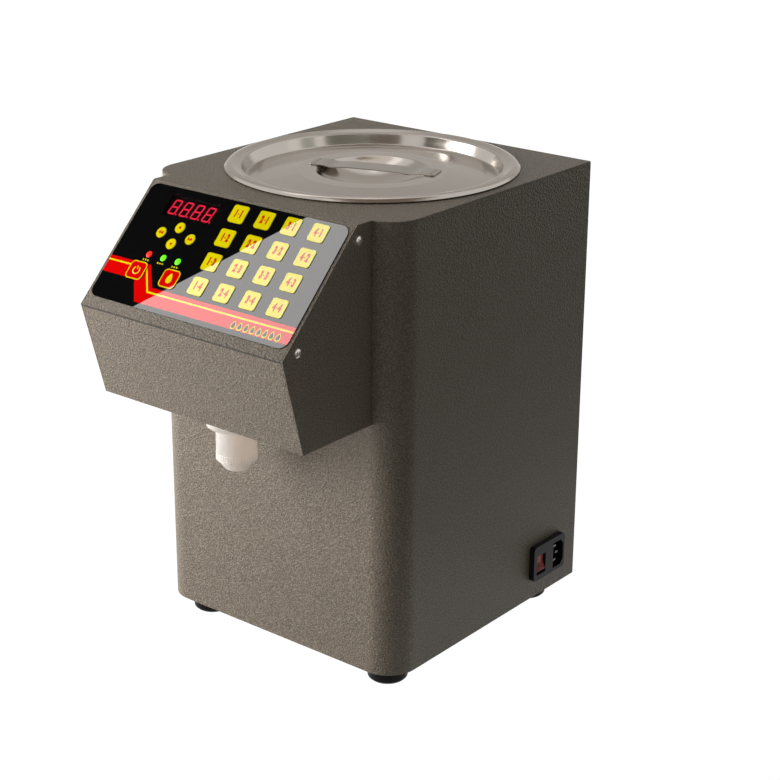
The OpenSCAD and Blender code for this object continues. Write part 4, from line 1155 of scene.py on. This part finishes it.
# Lamps that light the part: the setting of their power, place, size and colour; the point that
# they look at, and the colour of the world's light
LAMPS = (
    ("key", (-0.80, -0.74, 0.38), 1.0, (1.0, 0.97, 0.93)),
    ("fill", (2.0, 0.6, 0.9), 1.6, (0.97, 1.0, 0.80)),
    ("top", (-0.5, 0.2, 2.3), 1.4, (1.0, 0.98, 0.96)),
)
LAMP_AIM = Vector((0, 0, 0.22))
WORLD_COLOR = (0.96, 1.0, 0.84, 1)

# Corners in millimetres on the film, across and down, of what is seen mirrored in it: a lit
# card with a slanting edge, and a dark card behind it; both with their distances from a point
# of the panel that the two cards face
LIT_CORNERS = ((-57.9, 116.5), (67.4, -2.0), (112, -2.0), (112, 116.5))
DARK_CORNERS = ((-116, -3), (116, -3), (116, 120), (-116, 120))
LIT_REACH = 0.85
DARK_REACH = 0.90
CARD_AIM = Vector((0.02, -0.06, 0))

# Cards round the part that its steel reflects, as the walls and windows of a room: the point
# that they stand round; name, first and last azimuth, distance, lowest and highest point in
# metres, and shade
ROOM_MIDDLE = Vector((0, 0.05, 0))
CARDS = (
    ("back_card", 180.0, 258.0, 2.6, 0.45, 3.2, (0.60, 0.575, 0.545)),
    ("room_grey", 42.0, 87.0, 3.0, 0.3, 2.6, (0.27, 0.265, 0.23)),
    ("room_brown", 11.0, 42.0, 3.0, 0.3, 2.6, (0.23, 0.195, 0.175)),
    ("room_dark", -36.0, -13.0, 3.0, 0.3, 2.6, (0.16, 0.16, 0.13)),
    ("room_blue", 98.0, 112.0, 3.0, 0.3, 2.6, (0.45, 0.47, 0.45)),
)

# Level cards: one on the floor at the right, which the paint of that side reflects, and a
# ceiling, which the lid's bowl reflects: name, height, two opposite corners and shade
LEVEL_CARDS = (
    ("floor_flag", 0.003, (0.34, -0.4), (2.2, 2.2), (0.03, 0.028, 0.025)),
    ("ceiling", 2.3, (-0.9, -0.5), (0.7, 0.85), (0.24, 0.19, 0.15)),
)


class DISPENSER_OT_stage(DressOperator, bpy.types.Operator):
    """Sets the camera, the floor, the world and the lights"""

    bl_idname = "dispenser.stage"
    bl_label = "Stage"

    def dress(self, scene):
        stage = scene.dispenser_stage
        self.camera(scene, stage)
        self.world(scene, stage)
        self.floor()
        for name, spot, size, color in LAMPS:
            self.lamp(scene, name + "_light", spot, size, getattr(stage, name), color)
        self.gloss_card(stage)
        for row in CARDS:
            self.upright_card(*row)
        for name, height, (x0, y0), (x1, y1), shade in LEVEL_CARDS:
            corners = ((x0, y0), (x1, y0), (x1, y1), (x0, y1))
            self.card(name, [Vector((*c, height)) for c in corners], shade, 1.0)
        scene.view_settings.view_transform = "Standard"

    def eye(self, stage):
        """The camera's place, and the direction to it."""
        a, e = math.radians(stage.azimuth), math.radians(stage.elevation)
        way = Vector((math.sin(a) * math.cos(e), -math.cos(a) * math.cos(e), math.sin(e)))
        return Vector(stage.target) + way * stage.distance, way

    def camera(self, scene, stage):
        spot, way = self.eye(stage)
        data = bpy.data.cameras.new("camera")
        camera = bpy.data.objects.new("camera", data)
        scene.collection.objects.link(camera)
        turn = way.to_track_quat("Z", "Y").to_matrix().to_4x4()
        camera.matrix_world = (
            Matrix.Translation(spot) @ turn @ Matrix.Rotation(math.radians(stage.roll), 4, "Z")
        )
        data.sensor_width = 36
        data.lens = stage.lens
        data.clip_end = 50
        scene.camera = camera

    def world(self, scene, stage):
        world = bpy.data.worlds.new("studio")
        scene.world = world
        world.use_nodes = True
        tree = world.node_tree
        tree.nodes.clear()
        out = tree.nodes.new("ShaderNodeOutputWorld")
        seen = tree.nodes.new("ShaderNodeBackground")
        seen.inputs["Color"].default_value = (1, 1, 1, 1)
        seen.inputs["Strength"].default_value = 1.0
        light = tree.nodes.new("ShaderNodeBackground")
        light.inputs["Color"].default_value = WORLD_COLOR
        light.inputs["Strength"].default_value = stage.air
        mix = tree.nodes.new("ShaderNodeMixShader")
        tree.links.new(self.seen_rays(tree), mix.inputs[0])
        tree.links.new(light.outputs[0], mix.inputs[1])
        tree.links.new(seen.outputs[0], mix.inputs[2])
        tree.links.new(mix.outputs[0], out.inputs["Surface"])

    def seen_rays(self, tree):
        """1 for camera, glossy and transmission rays."""
        rays = tree.nodes.new("ShaderNodeLightPath")
        total = rays.outputs["Is Camera Ray"]
        for name in ("Is Glossy Ray", "Is Transmission Ray"):
            most = tree.nodes.new("ShaderNodeMath")
            most.operation = "MAXIMUM"
            tree.links.new(total, most.inputs[0])
            tree.links.new(rays.outputs[name], most.inputs[1])
            total = most.outputs[0]
        return total

    def floor(self):
        """White to the eye with a faint shadow, and grey to the light that it sends back."""
        floor = new(bpy.ops.mesh.primitive_plane_add, size=14, location=(0, 1.0, 0))
        floor.name = "floor"
        g = Graph("floor")
        paper = g.ramp(g.noise(0.004, 2.0), 0.3, 0.7)
        grey = g.blend(paper, (0.34, 0.34, 0.34), (0.36, 0.36, 0.36))
        diffuse = g.add("BsdfDiffuse", {"Color": grey})
        bright = g.add("BsdfDiffuse", {"Color": (0.9, 0.9, 0.9, 1)})
        white = g.add("Emission", {"Color": (1, 1, 1, 1), "Strength": 1.14})
        seen = g.add("MixShader", {0: 0.88, 1: bright.outputs[0], 2: white.outputs[0]})
        whole = g.add(
            "MixShader",
            {0: self.seen_rays(g.tree), 1: diffuse.outputs[0], 2: seen.outputs[0]},
        )
        g.tree.links.new(whole.outputs[0], g.output.inputs["Surface"])
        paint(floor, g.material)

    def lamp(self, scene, name, spot, size, power, color):
        """A square lamp that points at the part."""
        data = bpy.data.lights.new(name, "AREA")
        data.energy = power
        data.size = size
        data.color = color
        lamp = bpy.data.objects.new(name, data)
        scene.collection.objects.link(lamp)
        turn = (Vector(spot) - LAMP_AIM).to_track_quat("Z", "Y").to_matrix().to_4x4()
        lamp.matrix_world = Matrix.Translation(spot) @ turn

    def gloss_card(self, stage):
        """A lit card whose straight edge shows as the slanting edge of the film's gloss, and
        a dark card behind it that keeps the rest of the film black."""
        eye, _ = self.eye(stage)
        normal = (PANEL.to_3x3() @ Vector((0, 0, 1))).normalized()
        face = PANEL @ Vector((0, 0, FILM_TOP))
        mirrored = eye - 2 * (eye - face).dot(normal) * normal
        middle = PANEL @ CARD_AIM
        card_n = (middle - mirrored).normalized()
        for name, corners, reach, strength in (
            ("gloss_card", LIT_CORNERS, LIT_REACH, stage.card),
            ("dark_card", DARK_CORNERS, DARK_REACH, 0.0),
        ):
            card_d = (middle + card_n * reach).dot(card_n)
            points = []
            for x, s in corners:
                spot = PANEL @ Vector((x * MM, -s * MM, FILM_TOP))
                ray = spot - mirrored
                way = (card_d - mirrored.dot(card_n)) / ray.dot(card_n)
                points.append(mirrored + ray * way)
            self.card(name, points, (1.0, 0.985, 0.97), strength)

    def upright_card(self, name, first, last, distance, low, high, shade):
        """A card round the part, between two azimuths that are measured as the camera's."""
        a = math.radians((first + last) / 2)
        out = Vector((math.sin(a), -math.cos(a), 0))
        half = distance * math.tan(math.radians((last - first) / 2))
        side = Vector((out.y, -out.x, 0)) * half
        foot = ROOM_MIDDLE + out * distance
        ends = ((-1, low), (1, low), (1, high), (-1, high))
        points = [foot + side * way + Vector((0, 0, z)) for way, z in ends]
        self.card(name, points, shade, 1.0)

    def card(self, name, points, color, strength):
        """A flat card that only glossy rays see."""
        add = bpy.ops.mesh.primitive_circle_add
        card = new(add, vertices=len(points), fill_type="NGON")
        card.name = name
        for v, p in zip(card.data.vertices, points):
            v.co = p
        card.data.update()
        g = Graph(name)
        glow = g.add("Emission", {"Color": (*color, 1), "Strength": strength})
        g.tree.links.new(glow.outputs[0], g.output.inputs["Surface"])
        paint(card, g.material)
        card.visible_camera = False
        card.visible_diffuse = False
        card.visible_shadow = False
        card.visible_transmission = False


SETTINGS = {
    "dispenser_coat": CoatSettings,
    "dispenser_keypad": KeypadSettings,
    "dispenser_display": DisplaySettings,
    "dispenser_steel": SteelSettings,
    "dispenser_stage": StageSettings,
}
OPERATORS = (
    DISPENSER_OT_sheet_metal,
    DISPENSER_OT_keypad,
    DISPENSER_OT_display,
    DISPENSER_OT_lid,
    DISPENSER_OT_nozzle,
    DISPENSER_OT_inlet,
    DISPENSER_OT_fittings,
    DISPENSER_OT_stage,
)


class VIEW3D_PT_dispenser(bpy.types.Panel):
    """Lists the dispenser's settings and operators"""

    bl_label = "Fructose dispenser"
    bl_idname = "VIEW3D_PT_dispenser"
    bl_space_type = "VIEW_3D"
    bl_region_type = "UI"
    bl_category = "Dispenser"

    def draw(self, context):
        for operator in OPERATORS:
            self.layout.operator(operator.bl_idname)
        for name, group in SETTINGS.items():
            box = self.layout.box()
            box.label(text=group.__doc__)
            for key in group.__annotations__:
                box.prop(getattr(context.scene, name), key)


def register():
    for group in SETTINGS.values():
        bpy.utils.register_class(group)
    for name, group in SETTINGS.items():
        setattr(bpy.types.Scene, name, PointerProperty(type=group))
    for item in (*OPERATORS, VIEW3D_PT_dispenser):
        bpy.utils.register_class(item)


def unregister():
    for item in reversed((*OPERATORS, VIEW3D_PT_dispenser)):
        bpy.utils.unregister_class(item)
    for name, group in reversed(SETTINGS.items()):
        delattr(bpy.types.Scene, name)
        bpy.utils.unregister_class(group)


def main():
    register()
    bpy.ops.dispenser.sheet_metal()
    bpy.ops.dispenser.keypad()
    bpy.ops.dispenser.display()
    bpy.ops.dispenser.lid()
    bpy.ops.dispenser.nozzle()
    bpy.ops.dispenser.inlet()
    bpy.ops.dispenser.fittings()
    bpy.ops.dispenser.stage()
    deselect()
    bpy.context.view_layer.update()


if __name__ == "__main__":
    main()
